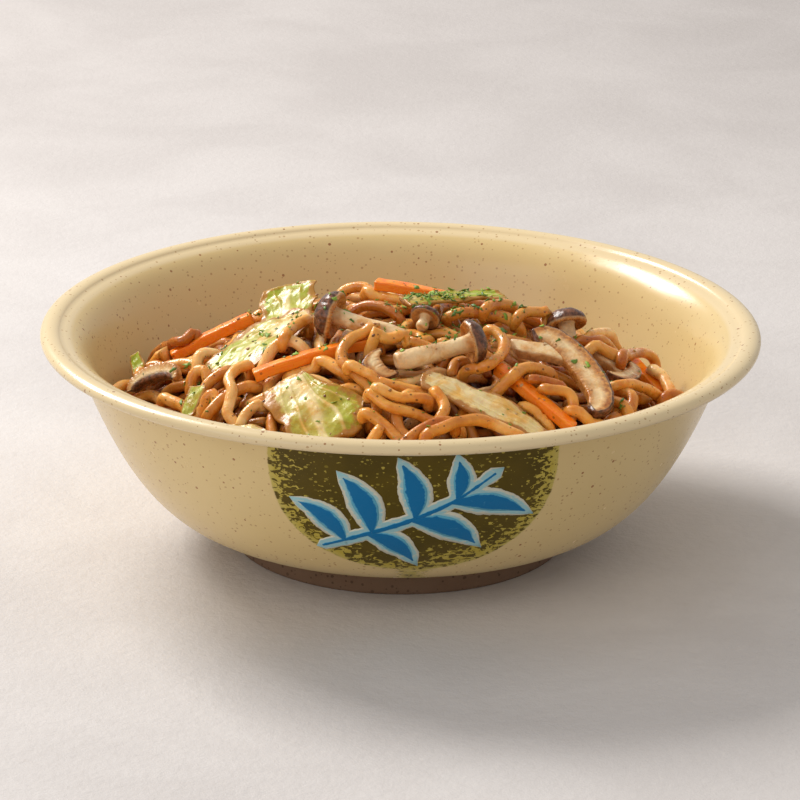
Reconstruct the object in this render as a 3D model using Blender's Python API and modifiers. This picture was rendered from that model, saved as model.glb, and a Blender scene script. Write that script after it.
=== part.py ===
"""A wide stoneware bowl heaped with stir-fried noodles, cabbage, carrot and mushrooms.

Metres, +Z up. The origin is the middle of the foot ring's flat base, and the front faces -Y.
The bowl is one turned piece. The noodles are one heap: a smooth core with the strands that show
fused on. Each piece of cabbage, carrot and mushroom is a solid of its own, laid on the core.
"""

import math
import random

import bmesh
import bpy
from mathutils import Matrix, Vector
from mathutils.bvhtree import BVHTree

MM = 0.001

# The bowl, turned round Z: pairs are a radius and a height
RIM_RADIUS = 120 * MM
LIP_LEVEL = 73.0 * MM
LIP_HALF_WIDTH = 3.5 * MM
LIP_HALF_HEIGHT = 2.3 * MM
WALL_FOOT = Vector((57.5, 10.0)) * MM
WALL_NECK = Vector((109.5, 70.2)) * MM
WALL_POWER = 2.55
WALL = 4.8 * MM
FLARE_START = 0.93
FLARE_BEND = Vector((105.6, 72.6)) * MM
FOOT_OUTER = 56.5 * MM
FOOT_INNER = 50.5 * MM
FOOT_CHAMFER = 0.6 * MM
UNDERSIDE = 6.5 * MM
BOWL_STEPS = 44

# The heap: a low dome from the wall to its middle, measured over the tops of the strands
HEAP_EDGE_RADIUS = 95 * MM
HEAP_EDGE_LEVEL = 45.5 * MM
HEAP_RISE = 34.5 * MM
UNEVENNESS = 0.9 * MM
CORE_DROP = 2.8 * MM
CORE_CLEARANCE = 1.3 * MM
CORE_STEPS = 26
CORE_RINGS = 7
GAP = 0.35 * MM

# The noodles
NOODLE_RADIUS = 2.15 * MM
STRAND_STARTS = 260
STRAND_STEP = 5.0 * MM
STRAND_LEAST_STEPS = 3
STRAND_MOST_STEPS = 18
STRAND_REACH = 89 * MM
STRAND_SPACING = 5.8 * MM
STEPS_IN_ALL = 425
WALL_ROOM = 1.2 * MM
STRAND_ROOM = 0.7 * MM
SEED = 29

# The green flakes, thickest a little behind the middle
FLAKES = 34
FLAKE_SIZE = Vector((2.3, 1.5, 0.8)) * MM
FLAKE_CENTRE = Vector((9.0, -7.0)) * MM
FLAKE_SPREAD = Vector((17.0, 13.0)) * MM

GOLDEN_ANGLE = 2 * math.pi * 0.7548777
GOLDEN_SHARE = 0.5698403


def clear_scene():
    for obj in list(bpy.data.objects):
        bpy.data.objects.remove(obj, do_unlink=True)


def new_collection(name):
    collection = bpy.data.collections.new(name)
    bpy.context.scene.collection.children.link(collection)
    return collection


def material(name, colour, roughness):
    made = bpy.data.materials.new(name)
    made.use_nodes = True
    shader = made.node_tree.nodes["Principled BSDF"]
    shader.inputs["Base Color"].default_value = (*colour, 1)
    shader.inputs["Roughness"].default_value = roughness
    shader.inputs["Metallic"].default_value = 0
    made.diffuse_color = (*colour, 1)
    return made


def object_from(name, mesh, finish, collection):
    obj = bpy.data.objects.new(name, mesh)
    mesh.materials.clear()
    mesh.materials.append(finish)
    collection.objects.link(obj)
    return obj


def mesh_from(bm, name):
    mesh = bpy.data.meshes.new(name)
    bm.to_mesh(mesh)
    bm.free()
    return mesh


def turned_mesh(name, profile, steps):
    """A closed mesh turned round Z from (radius, height) points that start and end on the axis."""
    bm = bmesh.new()
    points = [bm.verts.new((radius, 0, height)) for radius, height in profile]
    for first, second in zip(points, points[1:]):
        bm.edges.new((first, second))
    guide = bpy.data.objects.new(name, mesh_from(bm, name))
    bpy.context.scene.collection.objects.link(guide)
    screw = guide.modifiers.new("turn", "SCREW")
    screw.steps = steps
    screw.render_steps = steps
    screw.use_merge_vertices = True
    screw.merge_threshold = 0.0001
    return applied_mesh(guide)


def applied_mesh(obj):
    """The object's evaluated mesh, welded where a curve's caps meet its sides. The object goes."""
    graph = bpy.context.evaluated_depsgraph_get()
    mesh = bpy.data.meshes.new_from_object(obj.evaluated_get(graph))
    mesh.transform(obj.matrix_world)
    bm = bmesh.new()
    bm.from_mesh(mesh)
    bmesh.ops.remove_doubles(bm, verts=bm.verts, dist=0.01 * MM)
    bm.to_mesh(mesh)
    bm.free()
    bpy.data.objects.remove(obj)
    return mesh


def shade(mesh, angle=40):
    mesh.shade_smooth()
    mesh.set_sharp_from_angle(angle=math.radians(angle))


# Bowl


def outer_wall(share):
    """(radius, height) on the outside of the wall, from the foot at 0 to the neck at 1."""
    across = WALL_NECK - WALL_FOOT
    return WALL_FOOT + Vector((across.x * share, across.y * share**WALL_POWER))


def inside_wall(share, inset=WALL):
    """The point that lies inset from the outside of the wall, square to it."""
    across = WALL_NECK - WALL_FOOT
    slope = Vector((across.x, across.y * WALL_POWER * share ** (WALL_POWER - 1)))
    inward = Vector((-slope.y, slope.x)).normalized()
    return outer_wall(share) + inward * inset


def wall_radius_at(height, inset=WALL):
    """The inside radius of the bowl at a height."""
    low, high = 0.0, 1.0
    for _ in range(24):
        middle = (low + high) / 2
        if inside_wall(middle, inset).y < height:
            low = middle
        else:
            high = middle
    return inside_wall(high, inset).x


def lip_point(degrees):
    angle = math.radians(degrees)
    centre = RIM_RADIUS - LIP_HALF_WIDTH
    return Vector(
        (
            centre + LIP_HALF_WIDTH * math.cos(angle),
            LIP_LEVEL + LIP_HALF_HEIGHT * math.sin(angle),
        )
    )


def bend(start, corner, end, share):
    return start * (1 - share) ** 2 + corner * 2 * share * (1 - share) + end * share**2


def bowl_profile():
    """From the middle of the floor up the inside, over the lip and down to the underside."""
    crease = lip_point(152)
    flare_start = inside_wall(FLARE_START)
    profile = [Vector((0, inside_wall(0).y))]
    profile += [inside_wall(share) for share in (0, 0.2, 0.4, 0.58, 0.76)]
    profile += [bend(flare_start, FLARE_BEND, crease, share) for share in (0, 0.35, 0.7, 1)]
    profile += [lip_point(degrees) for degrees in (118, 80, 38, 0, -45, -105)]
    profile += [outer_wall(share) for share in (1, 0.87, 0.73, 0.57, 0.4, 0.22, 0.03)]
    profile += [
        Vector((FOOT_OUTER, WALL_FOOT.y - FOOT_CHAMFER)),
        Vector((FOOT_OUTER, FOOT_CHAMFER)),
        Vector((FOOT_OUTER - FOOT_CHAMFER, 0)),
        Vector((FOOT_INNER, 0)),
        Vector((FOOT_INNER - FOOT_CHAMFER, UNDERSIDE)),
        Vector((0, UNDERSIDE)),
    ]
    return profile


def make_bowl(glaze, collection):
    mesh = turned_mesh("bowl", bowl_profile(), BOWL_STEPS)
    shade(mesh)
    return object_from("bowl", mesh, glaze, collection)


# Heap


def heap_top(x, y):
    """Height of the tops of the strands."""
    dome = HEAP_RISE * (1 - (x * x + y * y) / HEAP_EDGE_RADIUS**2)
    swell = math.sin(x / (15 * MM) + 0.6) * math.cos(y / (13 * MM) + 0.4)
    return HEAP_EDGE_LEVEL + dome + UNEVENNESS * swell


def core_top(x, y):
    return heap_top(x, y) - CORE_DROP


def over_core(x, y, lift):
    """A point over the core: x, y and lift are in millimetres, and lift is the height above it."""
    return Vector((x * MM, y * MM, core_top(x * MM, y * MM) + lift * MM))


def make_core():
    """The bare core: the dome on top, and underneath it the bowl's inside less a clearance."""
    inset = WALL + CORE_CLEARANCE
    edge = HEAP_EDGE_LEVEL - CORE_DROP
    radius = wall_radius_at(edge, inset)
    profile = [Vector((0, edge + HEAP_RISE))]
    profile += [
        Vector((radius * ring / CORE_RINGS, edge + MM)) for ring in range(1, CORE_RINGS + 1)
    ]
    shares = [share for share in (0.72, 0.62, 0.45, 0.25) if inside_wall(share, inset).y < edge]
    profile += [inside_wall(share, inset) for share in shares]
    profile.append(Vector((0, inside_wall(0, inset).y)))
    mesh = turned_mesh("core", profile, CORE_STEPS)
    for vertex in mesh.vertices:
        if vertex.co.z > edge:
            vertex.co.z = core_top(vertex.co.x, vertex.co.y)
    return mesh


# Toppings


def cross_section_frame(start, end, up):
    """A matrix at start with X towards end and Z as near up as it can be."""
    along = (end - start).normalized()
    across = up.cross(along).normalized()
    frame = Matrix((along, across, along.cross(across))).transposed().to_4x4()
    frame.translation = start
    return frame


def make_carrot(name, start, end, width, height, arch, finish, collection):
    """A cut strip from start to end, with its corners taken off and its middle arched up."""
    length = (end - start).length
    bm = bmesh.new()
    bmesh.ops.create_cube(bm, size=1)
    bmesh.ops.scale(bm, vec=(length, width * MM, height * MM), verts=bm.verts)
    bmesh.ops.translate(bm, vec=(length / 2, 0, 0), verts=bm.verts)
    bevelled = [e for e in bm.edges if abs((e.verts[1].co - e.verts[0].co).x) > length / 2]
    bmesh.ops.bevel(bm, geom=bevelled, offset=0.5 * MM, segments=1, affect="EDGES")
    long_edges = [e for e in bm.edges if abs((e.verts[1].co - e.verts[0].co).x) > length / 2]
    bmesh.ops.subdivide_edges(bm, edges=long_edges, cuts=5, use_grid_fill=True)
    for vertex in bm.verts:
        share = vertex.co.x / length
        vertex.co.z += arch * MM * 4 * share * (1 - share)
        vertex.co.y *= 1 - 0.12 * share
    bmesh.ops.triangulate(bm, faces=bm.faces)
    mesh = mesh_from(bm, name)
    mesh.transform(cross_section_frame(start, end, Vector((0, 0, 1))))
    shade(mesh, 30)
    return object_from(name, mesh, finish, collection)


def between(pairs, share):
    """The pair of values at a share of the way along evenly spaced pairs."""
    place = share * (len(pairs) - 1)
    first = min(int(place), len(pairs) - 2)
    part = place - first
    return tuple(a + (b - a) * part for a, b in zip(pairs[first], pairs[first + 1]))


def make_leaf(name, root, tip, widths, lifts, wave, thickness, grid, finish, collection):
    """A thin wavy leaf draped over the core.

    root and tip are (x, y) and widths are (left, right) at even stations, in millimetres. lifts
    are the heights of the root, the middle and the tip over the core, and wave is the height of
    the folds, which grow towards the edges.
    """
    start, end = Vector(root), Vector(tip)
    along = (end - start).normalized()
    left = Vector((-along.y, along.x))
    stations, files = grid
    bm = bmesh.new()
    rows = []
    for i in range(stations + 1):
        share = i / stations
        left_width, right_width = between(widths, share)
        lift = bend(*(Vector((value, 0)) for value in lifts), share).x
        row = []
        for j in range(files + 1):
            side = 1 - 2 * j / files
            reach = left_width if side > 0 else right_width
            ragged = 1 + 0.10 * math.sin(7.0 * share * math.pi + 2.5 * side + len(name))
            plan = start.lerp(end, share) + left * side * reach * ragged
            fold = math.sin(4.6 * share * math.pi + 2.2 * side + len(name)) + 1
            rise = lift + wave * fold * (0.25 + 0.75 * abs(side))
            point = over_core(plan.x, plan.y, rise) + Vector((0, 0, GAP + thickness * MM / 2))
            row.append(bm.verts.new(point))
        rows.append(row)
    for first, second in zip(rows, rows[1:]):
        for j in range(files):
            bm.faces.new((first[j], second[j], second[j + 1], first[j + 1]))
    bmesh.ops.recalc_face_normals(bm, faces=bm.faces)
    bmesh.ops.triangulate(bm, faces=bm.faces)
    mesh = mesh_from(bm, name)
    obj = object_from(name, mesh, finish, collection)
    solid = obj.modifiers.new("thickness", "SOLIDIFY")
    solid.thickness = thickness * MM
    solid.offset = 0
    return obj


def make_mushroom(name, foot, cap, radius, height, stem, curve, finish, collection):
    """A whole small mushroom: foot is the stem's end, and cap the middle of the cap's underside."""
    length = (cap - foot).length / MM
    profile = [
        (0, length + height),
        (0.45 * radius, length + 0.92 * height),
        (0.80 * radius, length + 0.66 * height),
        (0.99 * radius, length + 0.25 * height),
        (0.95 * radius, length - 0.10 * height),
        (0.72 * radius, length - 0.06 * height),
        (1.10 * stem, length + 0.10 * height),
        (0.95 * stem, 0.70 * length),
        (1.10 * stem, 0.30 * length),
        (0.85 * stem, 0.03 * length),
        (0, 0),
    ]
    mesh = turned_mesh(name, [Vector(point) * MM for point in profile], 11)
    for vertex in mesh.vertices:
        below = max(0.0, 1 - vertex.co.z / (length * MM))
        vertex.co.x += curve * MM * below * (1 - below) * 4
    mesh.transform(Matrix.Translation(foot) @ (cap - foot).to_track_quat("Z", "Y").to_matrix().to_4x4())
    shade(mesh, 50)
    return object_from(name, mesh, finish, collection)


def slice_outline(radius, height, stem, length, stem_at):
    """The cut face of a mushroom: the cap's arch, its curled-in rims, and the stem at -Y."""
    points = []
    for step in range(11):
        angle = math.pi * step / 10
        points.append((radius * math.cos(angle), height * math.sin(angle) ** 0.8))
    points += [(-1.0 * radius, -0.16 * height), (-0.86 * radius, -0.26 * height)]
    room = max(0.0, 0.66 * radius - 1.1 * stem)
    root_at = max(-room, min(room, stem_at))
    room = max(0.0, radius - 1.1 * stem)
    tip_at = max(-room, min(room, stem_at))
    points += [(-0.74 * radius, -0.06 * height), (root_at - stem, 0.16 * height)]
    points += [(tip_at - stem, -length), (tip_at + stem, -length)]
    points += [(root_at + stem, 0.16 * height), (0.74 * radius, -0.06 * height)]
    points += [(0.86 * radius, -0.26 * height), (1.0 * radius, -0.16 * height)]
    return points


def make_slice(name, first, second, stem_tip, height, stem, thickness, finish, collection):
    """A mushroom cut lengthwise: first and second are the cap's two rims, stem_tip the stem's end."""
    middle = (first + second) / 2
    across = (second - first).normalized()
    down = stem_tip - middle
    stem_at = down.dot(across) / MM
    down -= across * down.dot(across)
    normal = across.cross(-down).normalized()
    curve = bpy.data.curves.new(name, "CURVE")
    curve.dimensions = "2D"
    curve.fill_mode = "BOTH"
    curve.extrude = thickness * MM / 2
    spline = curve.splines.new("POLY")
    radius = (second - first).length / 2 / MM
    outline = slice_outline(radius, height, stem, down.length / MM, stem_at)
    spline.points.add(len(outline) - 1)
    spline.use_cyclic_u = True
    for point, (x, y) in zip(spline.points, outline):
        point.co = (x * MM, y * MM, 0, 1)
    obj = bpy.data.objects.new(name, curve)
    collection.objects.link(obj)
    frame = Matrix((across, normal.cross(across), normal)).transposed().to_4x4()
    frame.translation = middle
    obj.matrix_world = frame
    bpy.context.view_layer.update()
    return object_from(name, applied_mesh(obj), finish, collection)


def make_toppings(finishes, collection):
    """Every piece on the noodles. Points are millimetres over the core: x, y and lift."""
    carrot, cabbage, mushroom = finishes["carrot"], finishes["cabbage"], finishes["mushroom"]
    strips = (
        ("carrot_left", (-77.0, 11.0, 4.2), (-50.0, 14.5, 5.0), 4.4, 3.8, 0.4),
        ("carrot_center", (-47.5, -37.6, 5.2), (-10.0, -30.5, 4.6), 4.4, 3.8, 1.2),
        ("carrot_back", (-8.4, 18.0, 7.2), (15.5, 9.6, 4.8), 4.6, 3.4, 0.3),
        ("carrot_right", (31.6, -37.5, 4.4), (55.6, -56.5, 4.4), 4.4, 3.8, 0.4),
        ("carrot_far_right", (78.6, 15.5, 4.0), (88.0, -2.0, 3.6), 4.4, 3.4, 0.2),
    )
    for name, start, end, width, height, arch in strips:
        make_carrot(name, over_core(*start), over_core(*end), width, height, arch, carrot, collection)

    leaves = (
        ("cabbage_left_back", (-39, 3), (-38, 22), ((7, 9), (9, 10), (9, 9)), (1, 4, 9), 1.2, 1.1, (6, 5)),
        (
            "cabbage_left_long",
            (-31, -3),
            (-60, -23),
            ((7, 7), (11, 13), (11, 14), (8, 10)),
            (5, 3, 1),
            1.1,
            1.5,
            (9, 4),
        ),
        (
            "cabbage_front",
            (-33, -43.5),
            (-24, -71),
            ((2, 13), (8, 12), (17, 10), (13, 7)),
            (2.5, 2.5, 0),
            1.2,
            1.5,
            (7, 6),
        ),
        (
            "cabbage_front_rib",
            (8, -50.5),
            (47, -61.5),
            ((3.5, 4.5), (4.5, 6), (6, 6.5), (2.5, 2.5)),
            (4.5, 2.5, 0.5),
            0.5,
            2.4,
            (9, 4),
        ),
        (
            "cabbage_right_back",
            (1, -4),
            (34, 13),
            ((3.5, 5), (5, 5.5), (5, 5), (4.5, 4)),
            (4.5, 4, 7.0),
            0.8,
            1.6,
            (8, 4),
        ),
        ("cabbage_bit_wall", (-87.5, 3), (-90, 12), ((1.5, 2.2), (2, 2.4), (1.5, 1.5)), (4, 7, 12), 0.5, 1.0, (4, 2)),
        ("cabbage_bit_left", (-66, -32), (-70, -40), ((3, 3), (4, 3.5), (2, 2)), (5, 3.5, 1.5), 0.4, 1.6, (4, 2)),
        ("cabbage_bit_front", (-56, -57), (-43.5, -64.5), ((2, 2), (2.8, 2.6), (2, 2)), (2, 2, 2), 0.4, 1.8, (4, 2)),
    )
    for name, root, tip, widths, lifts, wave, thickness, grid in leaves:
        make_leaf(name, root, tip, widths, lifts, wave, thickness, grid, cabbage, collection)

    wholes = (
        ("mushroom_left", (1.5, -29.0, 5.5), (-21.5, -21.5, 11.0), 8.0, 6.6, 2.9, 0.8),
        ("mushroom_center", (-1.6, -44.5, 7.2), (22.5, -36.0, 10.5), 7.4, 5.4, 3.0, -1.0),
        ("mushroom_right_back", (57.5, -3.0, 2.0), (55.5, 3.5, 9.0), 7.0, 5.4, 2.7, 0.0),
        ("mushroom_top", (6.7, -18.5, 3.1), (8.1, -14.5, 4.8), 5.2, 3.0, 1.9, 0.0),
    )
    for name, foot, cap, radius, height, stem, curve in wholes:
        make_mushroom(
            name, over_core(*foot), over_core(*cap), radius, height, stem, curve, mushroom, collection
        )

    slices = (
        ("mushroom_slice_center", (-7.7, -41.0, 8.7), (-1.7, -49.0, 5.5), (-3.4, -44.4, 7.1), 8.0, 1.8, 2.4),
        ("mushroom_slice_right", (44.0, -16.5, 9.0), (64.8, -48.8, 6.4), (35.0, -21.0, 5.6), 11.5, 3.6, 4.6),
        ("mushroom_slice_far_right", (77.5, 0.0, 6.5), (68.5, -17.5, 5.0), (64.5, -3.5, 5.5), 6.5, 2.6, 3.6),
        ("mushroom_slice_left", (-90.3, -5.0, 5.1), (-72.8, -17.0, 5.1), (-81.6, -12.0, 3.7), 7.0, 3.0, 3.6),
    )
    for name, first, second, stem_tip, height, stem, thickness in slices:
        make_slice(
            name,
            over_core(*first),
            over_core(*second),
            over_core(*stem_tip),
            height,
            stem,
            thickness,
            mushroom,
            collection,
        )


# Noodles


def tree_of(objects):
    """One search tree over the evaluated faces of several objects."""
    graph = bpy.context.evaluated_depsgraph_get()
    points, faces = [], []
    for obj in objects:
        mesh = obj.evaluated_get(graph).to_mesh()
        offset = len(points)
        points += [obj.matrix_world @ vertex.co for vertex in mesh.vertices]
        faces += [[offset + i for i in polygon.vertices] for polygon in mesh.polygons]
    return BVHTree.FromPolygons(points, faces)


def strand_point(plan, travelled, phase):
    """The middle of a strand: it weaves a little above and below its neighbours."""
    weave = 1.1 * MM * math.sin(phase + travelled / (7 * MM))
    return Vector((plan.x, plan.y, heap_top(plan.x, plan.y) - NOODLE_RADIUS + weave))


def free_of_others(point, toppings):
    room = NOODLE_RADIUS + STRAND_ROOM
    _, _, _, distance = toppings.find_nearest(point)
    wall = wall_radius_at(point.z) - WALL_ROOM - NOODLE_RADIUS
    return distance > room and math.hypot(point.x, point.y) < wall


def strand_path(index, draw, toppings):
    """A curling path over the heap that turns away from toppings and stops where it can't."""
    radius = STRAND_REACH * math.sqrt(index * GOLDEN_SHARE % 1)
    plan = Vector((math.cos(index * GOLDEN_ANGLE), math.sin(index * GOLDEN_ANGLE))) * radius
    heading = draw.uniform(0, 2 * math.pi)
    phase = draw.uniform(0, 2 * math.pi)
    curl = draw.uniform(0.10, 0.34) * draw.choice((-1, 1))
    wanted = draw.randint(STRAND_MOST_STEPS - 7, STRAND_MOST_STEPS)
    path = []
    for step in range(wanted):
        point = strand_point(plan, step * STRAND_STEP, phase)
        if not free_of_others(point, toppings):
            break
        path.append(point)
        turn = curl * (0.6 + math.sin(phase + 0.55 * step))
        for extra in (0, 0.35, -0.35, 0.7, -0.7):
            ahead = heading + turn + extra
            target = plan + Vector((math.cos(ahead), math.sin(ahead))) * STRAND_STEP
            following = strand_point(target, (step + 1) * STRAND_STEP, phase)
            halfway = (point + following) / 2
            if target.length < STRAND_REACH and all(
                free_of_others(place, toppings) for place in (halfway, following)
            ):
                break
        else:
            break
        heading = ahead
        plan = target
    return path if len(path) >= STRAND_LEAST_STEPS else []


def make_strand(name, path, collection):
    curve = bpy.data.curves.new(name, "CURVE")
    curve.dimensions = "3D"
    curve.bevel_depth = NOODLE_RADIUS
    curve.bevel_resolution = 1
    curve.use_fill_caps = True
    spline = curve.splines.new("POLY")
    spline.points.add(len(path) - 1)
    for point, place in zip(spline.points, path):
        point.co = (*place, 1)
    obj = bpy.data.objects.new(name, curve)
    bpy.context.scene.collection.objects.link(obj)
    mesh = applied_mesh(obj)
    strand = bpy.data.objects.new(name, mesh)
    collection.objects.link(strand)
    return strand


def make_flakes(draw, surface, toppings, collection):
    """Small green flakes, half sunk in whatever strand or core lies under them."""
    for index in range(FLAKES):
        x = FLAKE_CENTRE.x + draw.gauss(0, FLAKE_SPREAD.x)
        y = FLAKE_CENTRE.y + draw.gauss(0, FLAKE_SPREAD.y)
        turn = draw.uniform(0, math.pi)
        tilt = draw.uniform(-0.5, 0.5)
        hit, _, _, _ = surface.ray_cast(Vector((x, y, 1)), Vector((0, 0, -1)))
        if hit is None or toppings.find_nearest(hit)[3] < FLAKE_SIZE.x:
            continue
        bm = bmesh.new()
        bmesh.ops.create_cube(bm, size=1)
        bmesh.ops.scale(bm, vec=FLAKE_SIZE * draw.uniform(0.75, 1.15), verts=bm.verts)
        mesh = mesh_from(bm, f"flake_{index}")
        mesh.transform(Matrix.Translation(hit) @ Matrix.Rotation(turn, 4, "Z") @ Matrix.Rotation(tilt, 4, "X"))
        flake = bpy.data.objects.new(mesh.name, mesh)
        collection.objects.link(flake)


def keep_largest_body(mesh):
    """Drops scraps and the walls of sealed hollows, so the heap is one solid body."""
    bm = bmesh.new()
    bm.from_mesh(mesh)
    unseen = set(bm.faces)
    bodies = []
    while unseen:
        front = [unseen.pop()]
        body = []
        while front:
            face = front.pop()
            body.append(face)
            for edge in face.edges:
                for other in edge.link_faces:
                    if other in unseen:
                        unseen.remove(other)
                        front.append(other)
        bodies.append(body)
    bodies.sort(key=len, reverse=True)
    loose = [face for body in bodies[1:] for face in body]
    bmesh.ops.delete(bm, geom=loose, context="FACES")
    bmesh.ops.triangulate(bm, faces=bm.faces)
    bm.to_mesh(mesh)
    bm.free()


def make_noodles(finish, collection, helpers):
    """The heap: the core joined with every strand and flake by one Boolean union."""
    toppings = tree_of([obj for obj in collection.objects if obj.name != "bowl"])
    draw = random.Random(SEED)
    core = bpy.data.objects.new("noodles", make_core())
    bpy.context.scene.collection.objects.link(core)
    pieces = [core]
    laid = []
    for index in range(STRAND_STARTS):
        path = strand_path(index, draw, toppings)
        crowded = path and any((path[0] - point).xy.length < STRAND_SPACING for point in laid)
        if path and not crowded and len(laid) < STEPS_IN_ALL:
            pieces.append(make_strand(f"strand_{index}", path, helpers))
            laid += path
    bpy.context.view_layer.update()
    make_flakes(draw, tree_of(pieces), toppings, helpers)
    join = core.modifiers.new("join", "BOOLEAN")
    join.operation = "UNION"
    join.operand_type = "COLLECTION"
    join.collection = helpers
    join.solver = "MANIFOLD"
    bpy.context.view_layer.update()
    mesh = applied_mesh(core)
    for helper in list(helpers.objects):
        bpy.data.objects.remove(helper)
    bpy.data.collections.remove(helpers)
    keep_largest_body(mesh)
    shade(mesh, 50)
    return object_from("noodles", mesh, finish, collection)


def main():
    clear_scene()
    dish = new_collection("noodle_bowl")
    helpers = new_collection("heap_pieces")
    glaze = material("speckled_glaze", (0.64, 0.47, 0.25), 0.25)
    noodle = material("sauced_noodle", (0.47, 0.20, 0.055), 0.3)
    finishes = {
        "carrot": material("cooked_carrot", (0.83, 0.22, 0.02), 0.35),
        "cabbage": material("fried_cabbage", (0.62, 0.62, 0.22), 0.35),
        "mushroom": material("fried_mushroom", (0.25, 0.13, 0.08), 0.35),
    }
    make_bowl(glaze, dish)
    make_toppings(finishes, dish)
    make_noodles(noodle, dish, helpers)


main()
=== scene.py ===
"""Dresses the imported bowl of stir-fried noodles: glaze, painted panel, strands and toppings.

Lengths in the classes below are millimetres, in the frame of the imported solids: +Z up, the front
towards -Y, and the origin in the middle of the foot ring's base. Meshes are made in metres.
"""

import logging
import math
from collections.abc import Sequence
from dataclasses import dataclass, field
from enum import Enum
from functools import cache

import bmesh
import bpy
import numpy as np
from mathutils import Matrix, Vector
from mathutils.bvhtree import BVHTree


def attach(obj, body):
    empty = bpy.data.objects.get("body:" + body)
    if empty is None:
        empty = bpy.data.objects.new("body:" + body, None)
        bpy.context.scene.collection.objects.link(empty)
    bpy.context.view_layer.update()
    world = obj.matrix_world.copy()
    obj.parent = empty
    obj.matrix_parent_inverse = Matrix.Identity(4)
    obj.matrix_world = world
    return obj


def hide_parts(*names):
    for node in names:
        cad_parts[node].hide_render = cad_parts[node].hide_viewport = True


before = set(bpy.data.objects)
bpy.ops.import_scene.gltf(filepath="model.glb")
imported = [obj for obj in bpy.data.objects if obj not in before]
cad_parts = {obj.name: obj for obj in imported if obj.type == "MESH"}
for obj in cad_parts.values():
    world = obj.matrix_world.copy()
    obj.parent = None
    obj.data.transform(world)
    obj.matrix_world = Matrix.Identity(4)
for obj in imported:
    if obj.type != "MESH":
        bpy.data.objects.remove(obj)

LOG = logging.getLogger("noodle_bowl")
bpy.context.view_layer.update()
MM = 0.001
TURN = 2 * math.pi
BODY = "root"
# Painted shade deep in the heap: how far under its top it deepens, and its tint.
SHADE_DEPTH = 0.009
DEEP_SHADE_TINT = (0.29, 0.12, 0.045)
HIGH = 0.2
DOWN = Vector((0, 0, -1))
Array = np.ndarray
Arrays = tuple[Array, Array]
Colour = tuple[float, float, float]
Place = tuple[float, float, float]
Piece = bpy.types.Object
Material = bpy.types.Material
Socket = bpy.types.NodeSocket


# Shapes shared by several pieces


@dataclass(frozen=True)
class WallShape:
    """The bowl's wall as a curve of radius and height, and its offset on the inside."""

    foot: tuple[float, float] = (57.5, 10.0)
    neck: tuple[float, float] = (109.5, 70.2)
    power: float = 2.55
    thickness: float = 4.8

    def outer(self, share: Array) -> Array:
        """Points on the outside, from the foot at 0 to the neck at 1.

        Args:
            share: How far up the wall, along its radius.

        Returns:
            Radius and height of each point.
        """
        radius = self.foot[0] + (self.neck[0] - self.foot[0]) * share
        height = self.foot[1] + (self.neck[1] - self.foot[1]) * share**self.power
        return np.stack((radius, height), axis=-1)

    def normal(self, share: Array) -> Array:
        """Unit normals that point out of the clay on the outside.

        Args:
            share: How far up the wall, along its radius.

        Returns:
            Radius and height parts of each normal.
        """
        run = self.neck[0] - self.foot[0]
        climb = (self.neck[1] - self.foot[1]) * self.power * share ** (self.power - 1)
        length = np.hypot(run, climb)
        return np.stack((climb / length, -run / length), axis=-1)

    def inner(self, share: Array, inset: float = 0.0) -> Array:
        """Points on the inside of the wall, moved in by an extra inset."""
        return self.outer(share) - self.normal(share) * (self.thickness + inset)

    def outer_at(self, height: Array) -> Arrays:
        """The outside of the wall at given heights.

        Args:
            height: Heights on the wall.

        Returns:
            The radius there, and the share of the way up.
        """
        rise = (np.asarray(height) - self.foot[1]) / (self.neck[1] - self.foot[1])
        share = np.clip(rise, 0.0, 1.0) ** (1 / self.power)
        return self.foot[0] + (self.neck[0] - self.foot[0]) * share, share

    def inner_height(self, radius: Array, inset: float = 0.0) -> Array:
        """Height of the inside at given radii: the floor in the middle, and a cliff past the rim.

        Args:
            radius: Distances from the middle.
            inset: How far inside the glaze.

        Returns:
            The height at each.
        """
        table = self.inner(np.linspace(0, 1, 240), inset)
        heights = np.interp(radius, table[:, 0], table[:, 1])
        return np.where(np.asarray(radius) > table[-1, 0], 400.0, heights)


@dataclass(frozen=True)
class HeapShape:
    """The low dome that the strands fill, measured over their tops."""

    edge_radius: float = 95.0
    edge_level: float = 45.5
    rise: float = 34.5
    unevenness: float = 0.9
    core_drop: float = 2.8

    def top(self, x: Array, y: Array) -> Array:
        """Height of the tops of the strands over a point of the plan.

        Args:
            x: Places across.
            y: Places from front to back.

        Returns:
            The height at each.
        """
        dome = self.rise * (1 - (x * x + y * y) / self.edge_radius**2)
        swell = np.sin(x / 15 + 0.6) * np.cos(y / 13 + 0.4)
        return self.edge_level + dome + self.unevenness * swell

    def over(self, place: Sequence[float]) -> Array:
        """A point given as x, y and its height over the bare core."""
        x, y, lift = place
        return np.array((x, y, float(self.top(x, y)) - self.core_drop + lift))


WALL = WallShape()
HEAP = HeapShape()


def unit(vector: Array) -> Array:
    """The vector, or each vector of an array, at length one."""
    return vector / np.maximum(np.linalg.norm(vector, axis=-1, keepdims=True), 1e-9)


def between(pairs: Sequence[tuple[float, float]], share: float) -> tuple[float, float]:
    """The pair of values at a share of the way along evenly spaced pairs.

    Args:
        pairs: The pairs.
        share: How far along them, from 0 to 1.

    Returns:
        The pair there.
    """
    place = share * (len(pairs) - 1)
    first = min(int(place), len(pairs) - 2)
    part = place - first
    low, high = pairs[first], pairs[first + 1]
    return low[0] + (high[0] - low[0]) * part, low[1] + (high[1] - low[1]) * part


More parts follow.
